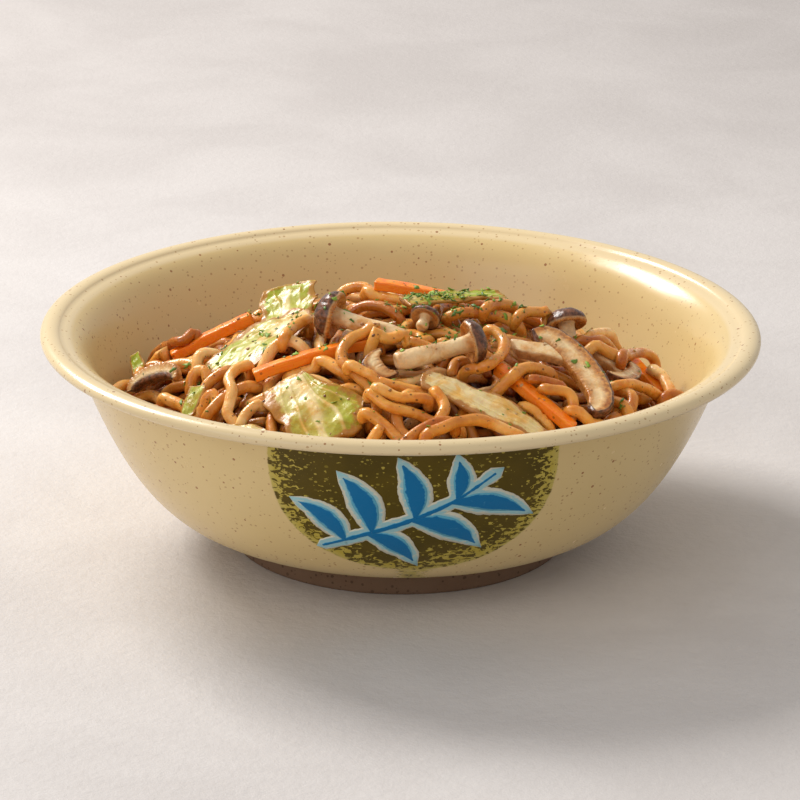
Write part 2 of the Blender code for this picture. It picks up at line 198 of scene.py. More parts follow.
def smooth_path(points: Sequence[Sequence[float]], step: float) -> Array:
    """A smooth curve through points, cut into equal steps.

    Args:
        points: The points that the curve goes through, with any number of values each.
        step: The length of a step, over the first three values.

    Returns:
        The points of the curve.
    """
    knots = np.asarray(points, float)
    knots = np.vstack((2 * knots[0] - knots[1], knots, 2 * knots[-1] - knots[-2]))
    dense = []
    for index in range(1, len(knots) - 2):
        before, start, end, after = knots[index - 1 : index + 3]
        t = np.linspace(0, 1, 24, endpoint=False)[:, None]
        bend = 2 * before - 5 * start + 4 * end - after
        twist = -before + 3 * start - 3 * end + after
        dense.append(0.5 * (2 * start + (end - before) * t + bend * t**2 + twist * t**3))
    dense = np.vstack((*dense, knots[-2:-1]))
    lengths = np.linalg.norm(np.diff(dense[:, :3], axis=0), axis=1)
    along = np.concatenate(([0.0], np.cumsum(lengths)))
    count = max(4, int(along[-1] / step) + 1)
    wanted = np.linspace(0, along[-1], count)
    return np.stack([np.interp(wanted, along, column) for column in dense.T], axis=1)


def smooth_noise(places: Array, size: float, seed: int) -> Array:
    """A gentle uneven field made of a few waves, from about -1 to 1.

    Args:
        places: Points, one to a row of the last axis.
        size: The width of a swell.
        seed: Picks the field.

    Returns:
        The field's value at each point.
    """
    draw = np.random.default_rng(seed)
    total = np.zeros(places.shape[:-1])
    for _ in range(6):
        direction = draw.normal(size=places.shape[-1])
        direction /= np.linalg.norm(direction)
        rate = TURN / size * draw.uniform(0.6, 1.5)
        total += np.sin(places @ direction * rate + draw.uniform(0, TURN))
    return total / 3.2


def path_frames(path: Array) -> Arrays:
    """Two directions across a path at each point, carried along it without twisting.

    Args:
        path: Points of the path.

    Returns:
        The sideways and the upward directions.
    """
    along = unit(np.gradient(path, axis=0))
    across = np.cross(along[0], (0.0, 0.0, 1.0))
    if np.linalg.norm(across) < 1e-3:
        across = np.array((1.0, 0.0, 0.0))
    sides = np.empty_like(path)
    for index, direction in enumerate(along):
        across = across - direction * np.dot(across, direction)
        across /= np.linalg.norm(across)
        sides[index] = across
    return sides, np.cross(sides, along)


def round_angles(count: int) -> Array:
    """Evenly spaced angles, once round."""
    return np.linspace(0, TURN, count, endpoint=False)


def soft_square(angles: Array, squareness: float) -> Arrays:
    """The cosine and sine of angles, pushed out towards the corners of a square.

    Args:
        angles: The angles.
        squareness: 1 for a circle, and up to about 4 for one with corners.

    Returns:
        The two values at each angle.
    """
    x = np.sign(np.cos(angles)) * np.abs(np.cos(angles)) ** (1 / squareness)
    y = np.sign(np.sin(angles)) * np.abs(np.sin(angles)) ** (1 / squareness)
    return x, y


def turned(outline: Array, steps: int) -> Arrays:
    """Rings of an outline that is turned round Z.

    Args:
        outline: Radius and height of each point.
        steps: Points in a ring.

    Returns:
        The points, ring by ring, and the angle of each point of a ring.
    """
    angles = round_angles(steps)
    x, y = outline[:, :1] * np.cos(angles), outline[:, :1] * np.sin(angles)
    return np.dstack((x, y, outline[:, 1:] + 0 * angles)), angles


def eased(values: Array) -> Array:
    """Each value averaged with those beside it."""
    padded = np.concatenate((values[:1], values, values[-1:]))
    return 0.25 * padded[:-2] + 0.5 * values + 0.25 * padded[2:]


def seed_of(name: str) -> int:
    """A seed of a piece's own, from its name."""
    return sum(map(ord, name))


def sweep(path: Array, half_sizes: Array, sides: int, squareness: float = 1.0) -> Array:
    """Rings round a path.

    Args:
        path: Points of the path.
        half_sizes: Half width and half height at each point.
        sides: Points in a ring.
        squareness: 1 for round rings, and up to about 4 for ones with corners.

    Returns:
        The points, ring by ring.
    """
    across, up = path_frames(path)
    angles = round_angles(sides) + math.pi / sides
    x, y = soft_square(angles, squareness)
    wide = across[:, None] * (half_sizes[:, :1] * x)[..., None]
    high = up[:, None] * (half_sizes[:, 1:] * y)[..., None]
    return path[:, None] + wide + high


def in_scene(name: str, data: bpy.types.ID) -> Piece:
    """A new object that is in the scene.

    Args:
        name: Its name.
        data: Its mesh, lamp or camera.

    Returns:
        The object.
    """
    piece = bpy.data.objects.new(name, data)
    bpy.context.scene.collection.objects.link(piece)
    return piece


class MeshParts:
    """Collects the rings and sheets of one piece, and makes its object."""

    def __init__(self) -> None:
        """Starts an empty piece."""
        self.points: list[Array] = []
        self.quads: list[Array] = []
        self.tris: list[Array] = []
        self.values: dict[str, list[Array]] = {}
        self.count = 0

    def add(self, points: Array, values: dict[str, Array]) -> int:
        """Adds loose points, and returns the index of the first.

        Args:
            points: The points.
            values: A value for each under each attribute's name.

        Returns:
            That index.
        """
        first = self.count
        flat = points.reshape(-1, 3)
        self.points.append(flat)
        for name, value in values.items():
            self.values.setdefault(name, []).append(
                np.broadcast_to(value, points.shape[:-1]).ravel()
            )
        self.count += len(flat)
        return first

    def tube(self, rings: Array, values: dict[str, Array] | None = None) -> None:
        """Adds a closed tube.

        Args:
            rings: The points of its rings, one ring to a row.
            values: A value for each point under each attribute's name.
        """
        values = values or {}
        count, sides = rings.shape[:2]
        first = self.add(rings, values)
        index = first + np.arange(count * sides).reshape(count, sides)
        beside = np.roll(index, -1, axis=1)
        self.quads.append(
            np.stack((index[:-1], beside[:-1], beside[1:], index[1:]), axis=-1).reshape(-1, 4)
        )
        for row in (0, count - 1):
            middle = {
                name: np.broadcast_to(value, rings.shape[:-1])[row].mean() for name, value in values.items()
            }
            centre = self.add(rings[row].mean(axis=0)[None], middle)
            ends = np.stack((index[row], beside[row], np.full(sides, centre)), axis=-1)
            self.tris.append(ends if row else ends[:, ::-1])

    def slab(self, top: Array, bottom: Array, values: dict[str, Array]) -> None:
        """Adds a closed sheet.

        Args:
            top: A grid of points.
            bottom: The grid of points under it.
            values: A value for each point of either grid under each attribute's name.
        """
        rows, columns = top.shape[:2]
        upper = self.add(top, values) + np.arange(rows * columns).reshape(rows, columns)
        lower = self.add(bottom, values) + np.arange(rows * columns).reshape(rows, columns)
        for grid in (upper, lower[:, ::-1]):
            corners = (grid[:-1, :-1], grid[1:, :-1], grid[1:, 1:], grid[:-1, 1:])
            self.quads.append(np.stack(corners, axis=-1).reshape(-1, 4))
        rim = [upper[0, :], upper[1:, -1], upper[-1, -2::-1], upper[-2:0:-1, 0]]
        base = [lower[0, :], lower[1:, -1], lower[-1, -2::-1], lower[-2:0:-1, 0]]
        edge, under = np.concatenate(rim), np.concatenate(base)
        sides = np.stack((edge, np.roll(edge, -1), np.roll(under, -1), under), axis=-1)
        self.quads.append(sides)

    def make(self, name: str, material: Material, slot: str, node: str | None = None) -> Piece:
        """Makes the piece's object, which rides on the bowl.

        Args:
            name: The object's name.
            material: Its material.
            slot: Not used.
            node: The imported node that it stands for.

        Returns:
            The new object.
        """
        mesh = bpy.data.meshes.new(name)
        points = np.concatenate(self.points) * MM
        groups = [np.concatenate(faces) for faces in (self.quads, self.tris) if faces]
        sizes = np.concatenate([np.full(len(faces), faces.shape[1]) for faces in groups])
        corners = np.concatenate([faces.ravel() for faces in groups])
        mesh.vertices.add(len(points))
        mesh.vertices.foreach_set("co", points.ravel())
        mesh.loops.add(len(corners))
        mesh.loops.foreach_set("vertex_index", corners.astype(np.int32))
        mesh.polygons.add(len(sizes))
        starts = np.concatenate(([0], np.cumsum(sizes)[:-1]))
        mesh.polygons.foreach_set("loop_start", starts.astype(np.int32))
        mesh.update(calc_edges=True)
        mesh.validate()
        for label, parts in self.values.items():
            layer = mesh.attributes.new(label, "FLOAT", "POINT")
            layer.data.foreach_set("value", np.concatenate(parts).astype(np.float32))
        bm = bmesh.new()
        bm.from_mesh(mesh)
        bmesh.ops.recalc_face_normals(bm, faces=bm.faces)
        bm.to_mesh(mesh)
        bm.free()
        mesh.shade_smooth()
        mesh.materials.append(material)
        piece = in_scene(name, mesh)
        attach(piece, BODY)
        if node:
            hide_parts(node)
        LOG.info("%s: %d faces", name, len(mesh.polygons))
        return piece


# Shader trees


class ShaderGraph:
    """Adds nodes to one shader tree and joins them."""

    def __init__(self, tree: bpy.types.NodeTree) -> None:
        """Takes the tree to work on."""
        self.tree = tree

    def feed(self, socket: Socket, value: object) -> None:
        """Links a socket into another, or sets the plain value there.

        Args:
            socket: The input.
            value: A socket or a value.
        """
        if isinstance(value, Socket):
            self.tree.links.new(value, socket)
        elif isinstance(value, tuple) and len(value) == 3 and socket.type == "RGBA":
            socket.default_value = (*value, 1.0)
        else:
            socket.default_value = value

    def add(self, kind: str, inputs: dict | None = None, **settings: object) -> bpy.types.Node:
        """Adds a node.

        Args:
            kind: The node's type.
            inputs: What each of its inputs gets, by name or number.
            settings: Its properties.

        Returns:
            The node.
        """
        node = self.tree.nodes.new(kind)
        for name, value in settings.items():
            setattr(node, name, value)
        for name, value in (inputs or {}).items():
            self.feed(node.inputs[name], value)
        return node

    def maths(self, operation: str, *values: object, clamp: bool = False) -> Socket:
        """The result of an operation on values."""
        inputs = dict(enumerate(values))
        return self.add("ShaderNodeMath", inputs, operation=operation, use_clamp=clamp).outputs[0]

    def times(self, first: object, second: object, clamp: bool = False) -> Socket:
        """The product of two values."""
        return self.maths("MULTIPLY", first, second, clamp=clamp)

    def plus(self, first: object, second: object) -> Socket:
        """The sum of two values."""
        return self.maths("ADD", first, second)

    def less(self, first: object, second: object) -> Socket:
        """The first value less the second."""
        return self.maths("SUBTRACT", first, second)

    def scaled(self, value: object, scale: object, offset: object) -> Socket:
        """A value times a scale, plus an offset."""
        return self.maths("MULTIPLY_ADD", value, scale, offset)

    def spread(self, value: object, low: object, high: object) -> Socket:
        """A smooth step from 0 at low to 1 at high, which may be the other way round.

        Args:
            value: The value.
            low: Where it is 0.
            high: Where it is 1.

        Returns:
            The step's height.
        """
        inputs = {"Value": value, "From Min": low, "From Max": high}
        step = self.add("ShaderNodeMapRange", inputs, interpolation_type="SMOOTHSTEP", clamp=True)
        return step.outputs[0]

    def place(self) -> Socket:
        """The object's own coordinates, in metres."""
        return self.add("ShaderNodeTexCoord").outputs["Object"]

    def stretch(self, vector: object, scale: Place) -> Socket:
        """A vector multiplied axis by axis."""
        return self.add("ShaderNodeVectorMath", {0: vector, 1: scale}, operation="MULTIPLY").outputs[0]

    def axes(self, vector: object) -> tuple[Socket, ...]:
        """The x, y and z of a vector."""
        return tuple(self.add("ShaderNodeSeparateXYZ", {0: vector}).outputs)

    def noise(
        self, vector: object, scale: object, detail: float = 2.0, roughness: float = 0.5, warp: float = 0.0
    ) -> Socket:
        """A noise from 0 to 1, with scale swells to a metre."""
        inputs = {"Scale": scale, "Detail": detail, "Roughness": roughness, "Distortion": warp}
        return self.add("ShaderNodeTexNoise", {"Vector": vector, **inputs}).outputs["Fac"]

    def attribute(self, name: str) -> Socket:
        """A value kept at the points of the mesh."""
        return self.add("ShaderNodeAttribute", attribute_name=name).outputs["Fac"]

    def ramp(self, value: object, *stops: tuple[float, Colour]) -> Socket:
        """Reads a colour along a scale from 0 to 1.

        Args:
            value: Where to read.
            stops: The place and colour of each stop.

        Returns:
            The colour.
        """
        node = self.add("ShaderNodeValToRGB", {0: value})
        band = node.color_ramp
        while len(band.elements) < len(stops):
            band.elements.new(0.5)
        for element, (position, colour) in zip(band.elements, stops):
            element.position = position
            element.color = (*colour, 1.0)
        return node.outputs[0]

    def mix(self, share: object, first: object, second: object, way: str = "MIX") -> Socket:
        """Two colours mixed, with all of the second where the share is 1."""
        inputs = {0: share, 6: first, 7: second}
        return self.add("ShaderNodeMix", inputs, data_type="RGBA", blend_type=way).outputs[2]

    def blend(self, share: object, first: object, second: object) -> Socket:
        """Two plain values mixed, with all of the second where the share is 1."""
        return self.add("ShaderNodeMix", {0: share, 2: first, 3: second}, data_type="FLOAT").outputs[0]

    def bump(self, height: object, distance: float) -> Socket:
        """A normal bent by a height, where distance is the height of 1 in metres."""
        inputs = {"Height": height, "Distance": distance, "Strength": 1.0}
        return self.add("ShaderNodeBump", inputs).outputs["Normal"]

    def specks(self, vector: Socket, scale: float, size: float) -> bpy.types.Node:
        """Places the specks."""
        inputs = {"Vector": vector, "Scale": scale, "Size": size}
        return self.add("ShaderNodeGroup", inputs, node_tree=speckle_group())

    def film(
        self, vector: Socket, base: Socket, sauce: Colour, amount: float, patch: float
    ) -> bpy.types.Node:
        """Places the sauce film, with its painted shade deep in the heap."""
        inputs = {"Vector": vector, "Base": base, "Sauce": sauce, "Amount": amount, "Patch": patch}
        return self.add("ShaderNodeGroup", inputs, node_tree=sauce_and_shade_group())


class GroupKind(Enum):
    """The effects that several finishes share."""

    SPECKLE = "speckle"
    SAUCE_AND_SHADE = "sauce_and_shade"


def group_tree(
    kind: GroupKind, inputs: dict[str, str], outputs: dict[str, str]
) -> tuple[ShaderGraph, dict[str, Socket], bpy.types.Node]:
    """Starts a shader node group.

    Args:
        kind: Which effect it is.
        inputs: The socket type of each input's name.
        outputs: The socket type of each output's name.

    Returns:
        A graph on its tree, its input sockets by name, and the node that takes its outputs.
    """
    tree = bpy.data.node_groups.new(kind.value, "ShaderNodeTree")
    for name, socket_type in inputs.items():
        tree.interface.new_socket(name, in_out="INPUT", socket_type=socket_type)
    for name, socket_type in outputs.items():
        tree.interface.new_socket(name, in_out="OUTPUT", socket_type=socket_type)
    graph = ShaderGraph(tree)
    source = graph.add("NodeGroupInput")
    return graph, dict(source.outputs.items()), graph.add("NodeGroupOutput")


@cache
def speckle_group() -> bpy.types.NodeTree:
    """Round specks of uneven size: the iron spots of a glaze, seasoning, or stone grain.

    Returns:
        The group's tree.
    """
    inputs = {"Vector": "NodeSocketVector", "Scale": "NodeSocketFloat", "Size": "NodeSocketFloat"}
    graph, given, result = group_tree(
        GroupKind.SPECKLE, inputs, {"Mask": "NodeSocketFloat", "Tone": "NodeSocketFloat"}
    )
    where = {"Vector": given["Vector"], "Scale": given["Scale"]}
    cells = graph.add("ShaderNodeTexVoronoi", where, feature="F1")
    red, green, _ = graph.axes(cells.outputs["Color"])
    size = graph.times(given["Size"], graph.maths("POWER", red, 2.0))
    wobble = graph.noise(given["Vector"], graph.times(given["Scale"], 5.0))
    reach = graph.plus(cells.outputs["Distance"], graph.times(wobble, 0.03))
    mask = graph.spread(reach, graph.plus(size, 0.018), size)
    graph.feed(result.inputs["Mask"], mask)
    graph.feed(result.inputs["Tone"], green)
    return graph.tree


@cache
def sauce_and_shade_group() -> bpy.types.NodeTree:
    """A wet brown sauce that tints what it lies on, gathers in patches and shines, with painted shade that
    darkens all that lies deep under the heap's top.

    Returns:
        The group's tree.
    """
    inputs = {
        "Vector": "NodeSocketVector",
        "Base": "NodeSocketColor",
        "Sauce": "NodeSocketColor",
        "Amount": "NodeSocketFloat",
        "Patch": "NodeSocketFloat",
    }
    outputs = {"Color": "NodeSocketColor", "Roughness": "NodeSocketFloat", "Height": "NodeSocketFloat"}
    graph, given, result = group_tree(GroupKind.SAUCE_AND_SHADE, inputs, outputs)
    x, y, z = graph.axes(given["Vector"])
    # Painted shade: how deep each point lies under the heap's even top.
    square = graph.plus(graph.times(x, x), graph.times(y, y))
    fall = HEAP.rise / HEAP.edge_radius**2 / MM
    dome = graph.scaled(square, -fall, (HEAP.edge_level + HEAP.rise) * MM)
    depth = graph.maths("DIVIDE", graph.less(dome, z), SHADE_DEPTH, clamp=True)
    patches = graph.noise(given["Vector"], given["Patch"], 3.0, 0.6, 0.4)
    wet = graph.spread(patches, 0.42, 0.68)
    share = graph.times(given["Amount"], graph.plus(wet, 0.25), clamp=True)
    tinted = graph.mix(share, given["Base"], graph.mix(1.0, given["Base"], given["Sauce"], "MULTIPLY"))
    # Painted shade: the tinted colour darkened towards the deep shade tint, more the deeper it lies.
    dark = graph.mix(1.0, tinted, DEEP_SHADE_TINT, "MULTIPLY")
    graph.feed(result.inputs["Color"], graph.mix(graph.times(depth, 0.92), tinted, dark))
    fine = graph.noise(given["Vector"], 900.0, 2.0, 0.6)
    graph.feed(result.inputs["Roughness"], graph.scaled(fine, 0.22, graph.blend(wet, 0.24, 0.08)))
    beads = graph.noise(given["Vector"], 1500.0, 1.0)
    graph.feed(result.inputs["Height"], graph.plus(graph.times(fine, 0.6), graph.times(beads, 0.4)))
    return graph.tree


class MaterialGraph(ShaderGraph):
    """The graph of a material, which ends in its shader."""

    def __init__(self, name: str) -> None:
        """Makes the material and takes its tree.

        Args:
            name: The material's name.
        """
        self.material = bpy.data.materials.new(name)
        self.material.use_nodes = True
        super().__init__(self.material.node_tree)

    def wear(self, name: str, value: object) -> None:
        """Feeds an input of the shader."""
        self.feed(self.tree.nodes["Principled BSDF"].inputs[name], value)


@dataclass(frozen=True)
class Moistness:
    """How a cooked surface lets light in, and how it shines."""

    glow: float
    glow_colour: Colour
    glow_reach: float
    specular: float
    coat: float
    coat_roughness: float
    relief: float

    def dress(
        self, graph: MaterialGraph, colour: Socket, film: bpy.types.Node, height: Socket | None = None
    ) -> None:
        """Feeds a material's shader.

        Args:
            graph: The material's graph.
            colour: The finished colour.
            film: The sauce film on it, with its painted shade deep in the heap.
            height: The surface's height with the film's, where it has more than the film's.
        """
        graph.wear("Base Color", colour)
        graph.wear("Roughness", film.outputs["Roughness"])
        graph.wear("Subsurface Weight", self.glow)
        graph.wear("Subsurface Radius", self.glow_colour)
        graph.wear("Subsurface Scale", self.glow_reach)
        graph.wear("Specular IOR Level", self.specular)
        graph.wear("Coat Weight", self.coat)
        graph.wear("Coat Roughness", self.coat_roughness)
        graph.wear("Normal", graph.bump(height or film.outputs["Height"], self.relief))


@dataclass(frozen=True)
class GlazeFinish:
    """Cream glaze with iron specks, the olive panel sponged on the front, and the bare clay foot."""

    cream: Colour = (0.645, 0.468, 0.20)
    pale: Colour = (0.70, 0.53, 0.25)
    thin: Colour = (0.73, 0.585, 0.36)
    speck: Colour = (0.23, 0.06, 0.012)
    olive: Colour = (0.060, 0.040, 0.001)
    umber: Colour = (0.115, 0.075, 0.003)
    ochre: Colour = (0.44, 0.33, 0.02)
    fringe: Colour = (0.50, 0.40, 0.10)
    rust: Colour = (0.36, 0.16, 0.05)
    fleck: Colour = (0.36, 0.18, 0.06)
    clay: Colour = (0.16, 0.09, 0.052)
    light_clay: Colour = (0.20, 0.125, 0.08)
    grit: Colour = (0.05, 0.028, 0.017)
    panel_middle: float = 4.3
    panel_top: float = 67.0
    panel_half_width: float = 45.2
    panel_depth: float = 47.5

    def panel(self, graph: ShaderGraph, place: Socket) -> tuple[Socket, Socket]:
        """The painted panel.

        Args:
            graph: The material's graph.
            place: The object's coordinates.

        Returns:
            The panel's colour, and the mask of where it lies.
        """
        x, y, z = graph.axes(place)
        middle, top = self.panel_middle * MM, self.panel_top * MM
        across = graph.maths("DIVIDE", graph.less(x, middle), self.panel_half_width * MM)
        down = graph.maths("DIVIDE", graph.less(top, z), self.panel_depth * MM, clamp=True)
        reach = graph.plus(graph.times(across, across), graph.maths("POWER", down, 2.5))
        ragged = graph.scaled(graph.noise(place, 260.0, 3.0, 0.7), 0.05, reach)
        front = graph.maths("LESS_THAN", y, 0.0)
        inside = graph.times(graph.spread(ragged, 1.045, 1.02), front)
        mask = graph.times(inside, graph.attribute("outside"))
        dabs = graph.noise(graph.stretch(place, (1.0, 1.0, 1.7)), 430.0, 3.0, 0.62, 0.6)
        clouds = graph.noise(place, 62.0, 2.0, 0.5)
        ease = graph.times(graph.spread(reach, 0.52, 1.0), 0.20)
        patches = graph.times(graph.spread(clouds, 0.55, 0.75), 0.10)
        level = graph.less(0.67, graph.plus(ease, patches))
        dabbed = graph.spread(dabs, level, graph.plus(level, 0.02))
        dark = graph.mix(graph.noise(place, 90.0, 2.0), self.olive, self.umber)
        light = graph.mix(graph.noise(place, 300.0), self.ochre, self.fringe)
        flecks = graph.specks(graph.stretch(place, (1.0, 1.0, 1.5)), 620.0, 0.46)
        shown = graph.times(flecks.outputs["Mask"], graph.spread(flecks.outputs["Tone"], 0.2, 0.8))
        colour = graph.mix(graph.maths("MAXIMUM", dabbed, graph.times(shown, 0.85)), dark, light)
        rim = graph.spread(ragged, 0.93, 1.03)
        return graph.mix(rim, colour, graph.mix(graph.spread(dabs, 0.42, 0.47), colour, self.fringe)), mask

    def build(self) -> Material:
        """Makes the material.

        Returns:
            The material.
        """
        graph = MaterialGraph("speckled_glaze")
        place = graph.place()
        body = graph.mix(graph.noise(place, 22.0, 3.0, 0.6), self.cream, self.pale)
        body = graph.mix(graph.times(graph.attribute("lip"), 0.75), body, self.thin)
        large = graph.specks(place, 310.0, 0.185)
        small = graph.specks(graph.stretch(place, (1.0, 1.0, 1.13)), 640.0, 0.32)
        rust = graph.mix(large.outputs["Tone"], self.speck, self.rust)
        body = graph.mix(graph.times(small.outputs["Mask"], 0.6), body, self.fleck)
        body = graph.mix(graph.times(large.outputs["Mask"], 0.85), body, rust)
        colour, mask = self.panel(graph, place)
        glazed = graph.mix(mask, body, colour)
        grit = graph.specks(place, 600.0, 0.42)
        clay = graph.mix(graph.noise(place, 70.0, 4.0, 0.7), self.clay, self.light_clay)
        clay = graph.mix(graph.times(grit.outputs["Mask"], 0.6), clay, self.grit)
        bare = graph.attribute("clay")
        graph.wear("Base Color", graph.mix(bare, glazed, clay))
        gloss = graph.scaled(graph.noise(place, 160.0, 2.0), 0.10, 0.20)
        gloss = graph.blend(mask, gloss, 0.36)
        graph.wear("Roughness", graph.blend(bare, gloss, 0.85))
        shine = graph.less(0.5, graph.times(graph.maths("MAXIMUM", mask, bare), 0.3))
        graph.wear("Specular IOR Level", shine)
        ripple = graph.times(graph.noise(graph.stretch(place, (1.0, 1.0, 2.2)), 45.0, 2.0), 0.7)
        grain = graph.times(graph.noise(place, 900.0, 3.0), graph.blend(bare, 0.05, 0.9))
        graph.wear("Normal", graph.bump(graph.plus(ripple, grain), 0.00022))
        return graph.material


@dataclass(frozen=True)
class EnamelFinish:
    """Brushed enamel on the panel, thin where the brush ran dry."""

    name: str
    colour: Colour
    thin: Colour
    dry: float

    def build(self) -> Material:
        """Makes the material.

        Returns:
            The material.
        """
        graph = MaterialGraph(self.name)
        place = graph.place()
        streaks = graph.noise(graph.stretch(place, (1.0, 1.0, 2.4)), 260.0, 4.0, 0.65, 0.8)
        rim = graph.attribute("rim")
        ragged = graph.scaled(streaks, 0.5, graph.less(rim, 0.25))
        worn = graph.spread(streaks, 0.66 - self.dry, 0.78 - self.dry)
        wash = graph.maths("MAXIMUM", worn, graph.spread(ragged, 0.72, 0.86))
        graph.wear("Base Color", graph.mix(graph.times(wash, 0.85), self.colour, self.thin))
        graph.wear("Roughness", 0.4)
        graph.wear("Specular IOR Level", 0.25)
        graph.wear("Normal", graph.bump(streaks, 0.00008))
        return graph.material


@dataclass(frozen=True)
class NoodleFinish:
    """Cooked wheat noodle: translucent, golden to brown with sauce, and wet."""

    pale: Colour = (0.95, 0.66, 0.29)
    golden: Colour = (0.86, 0.425, 0.078)
    brown: Colour = (0.48, 0.15, 0.012)
    sauce: Colour = (0.82, 0.56, 0.30)
    pepper: Colour = (0.07, 0.022, 0.006)
    moist: Moistness = Moistness(0.3, (1.0, 0.38, 0.12), 0.0025, 0.3, 0.32, 0.05, 0.00030)

    def build(self) -> Material:
        """Makes the material.

        Returns:
            The material.
        """
        graph = MaterialGraph("sauced_noodle")
        place = graph.place()
        tone = graph.attribute("tone")
        drift = graph.noise(place, 75.0, 3.0, 0.6)
        level = graph.scaled(drift, 0.95, graph.scaled(tone, 0.60, -0.27))
        base = graph.ramp(level, (0.12, self.pale), (0.42, self.golden), (0.85, self.brown))
        # The film adds the sauce, and painted shade deep in the heap.
        film = graph.film(place, base, self.sauce, 0.75, 130.0)
        spots = graph.specks(place, 560.0, 0.26)
        spotted = graph.mix(graph.times(spots.outputs["Mask"], 0.7), film.outputs["Color"], self.pepper)
        self.moist.dress(graph, spotted, film)
        return graph.material


@dataclass(frozen=True)
class CarrotFinish:
    """Cooked carrot: orange, moist, with fine lines and a little sauce."""

    light: Colour = (1.0, 0.34, 0.018)
    deep: Colour = (0.95, 0.20, 0.004)
    rings: float = 6.0
    lines: float = 14.0
    sauce: Colour = (0.84, 0.60, 0.32)
    pepper: Colour = (0.16, 0.05, 0.01)
    moist: Moistness = Moistness(0.2, (1.0, 0.3, 0.05), 0.002, 0.35, 0.15, 0.12, 0.00016)

    def build(self) -> Material:
        """Makes the material.

        Returns:
            The material.
        """
        graph = MaterialGraph("cooked_carrot")
        place = graph.place()
        along = graph.times(graph.attribute("along"), self.rings)
        across = graph.times(graph.attribute("across"), self.lines)
        lines = graph.add("ShaderNodeCombineXYZ", {0: along, 1: across})
        grain = graph.noise(lines.outputs[0], 1.0, 3.0, 0.6)
        base = graph.mix(graph.spread(grain, 0.35, 0.7), self.deep, self.light)
        # The film adds the sauce, and painted shade deep in the heap.
        film = graph.film(place, base, self.sauce, 0.25, 210.0)
        spots = graph.specks(place, 420.0, 0.30)
        colour = graph.mix(graph.times(spots.outputs["Mask"], 0.6), film.outputs["Color"], self.pepper)
        self.moist.dress(graph, colour, film, graph.plus(grain, film.outputs["Height"]))
        return graph.material


@dataclass(frozen=True)
class CabbageFinish:
    """Fried cabbage: a cream rib, pale green blade, bright green rim and browned edges."""

    rib: Colour = (0.86, 0.73, 0.42)
    blade: Colour = (0.50, 0.47, 0.085)
    green: Colour = (0.36, 0.46, 0.025)
    brown: Colour = (0.42, 0.15, 0.025)
    sauce: Colour = (0.90, 0.60, 0.25)
    moist: Moistness = Moistness(0.25, (0.8, 1.0, 0.25), 0.002, 0.32, 0.16, 0.12, 0.00018)

    def build(self) -> Material:
        """Makes the material.

        Returns:
            The material.
        """
        graph = MaterialGraph("fried_cabbage")
        place = graph.place()
        green = graph.attribute("green")
        edge = graph.attribute("edge")
        cloud = graph.noise(place, 95.0, 3.0, 0.6)
        level = graph.scaled(cloud, 0.45, graph.less(green, 0.2))
        base = graph.ramp(level, (0.0, self.rib), (0.36, self.blade), (0.85, self.green))
        raised = graph.times(graph.spread(graph.attribute("vein"), 0.15, 0.80), 0.8)
        base = graph.mix(raised, base, self.rib)
        # The film adds the sauce, and painted shade deep in the heap.
        film = graph.film(place, base, self.sauce, 0.8, 150.0)
        fried = graph.noise(place, 210.0, 4.0, 0.7)
        near_rim = graph.spread(edge, 0.22, 0.85)
        seared = graph.spread(graph.scaled(near_rim, 0.42, fried), 0.62, 0.84)
        burnt = graph.spread(graph.noise(place, 330.0, 2.0, 0.5), 0.68, 0.74)
        browning = graph.maths("MAXIMUM", graph.times(seared, 0.85), graph.times(burnt, 0.6))
        colour = graph.mix(browning, film.outputs["Color"], self.brown)
        height = graph.plus(graph.times(fried, 0.8), film.outputs["Height"])
        self.moist.dress(graph, colour, film, height)
        return graph.material


@dataclass(frozen=True)
class MushroomFinish:
    """Fried mushroom: dark glossy skin, tan gills, and cream flesh browned by the sauce."""

    skin: Colour = (0.058, 0.021, 0.010)
    skin_light: Colour = (0.25, 0.092, 0.042)
    gill: Colour = (0.66, 0.32, 0.09)
    gill_shade: Colour = (0.38, 0.145, 0.03)
    flesh: Colour = (0.90, 0.71, 0.42)
    browned: Colour = (0.68, 0.31, 0.06)
    seared: Colour = (0.30, 0.085, 0.012)
    sauce: Colour = (0.84, 0.58, 0.33)
    moist: Moistness = Moistness(0.12, (1.0, 0.6, 0.3), 0.0015, 0.35, 0.2, 0.12, 0.00025)

    def build(self) -> Material:
        """Makes the material.

        Returns:
            The material.
        """
        graph = MaterialGraph("fried_mushroom")
        place = graph.place()
        cloud = graph.noise(place, 130.0, 3.0, 0.6)
        fleck = graph.noise(place, 620.0, 3.0, 0.7)
        flesh = graph.mix(graph.spread(cloud, 0.50, 0.80), self.flesh, self.browned)
        streaks = graph.mix(graph.spread(fleck, 0.30, 0.70), self.gill, self.gill_shade)
        flesh = graph.mix(graph.attribute("gill"), flesh, streaks)
        crust = graph.mix(graph.spread(fleck, 0.35, 0.68), self.seared, self.browned)
        flesh = graph.mix(graph.times(graph.attribute("sear"), 0.9), flesh, crust)
        # The film adds the sauce, and painted shade deep in the heap.
        film = graph.film(place, flesh, self.sauce, 0.7, 170.0)
        skin = graph.mix(graph.spread(fleck, 0.35, 0.72), self.skin, self.skin_light)
        colour = graph.mix(graph.attribute("skin"), film.outputs["Color"], skin)
        height = graph.plus(graph.times(fleck, 0.7), film.outputs["Height"])
        self.moist.dress(graph, colour, film, height)
        return graph.material


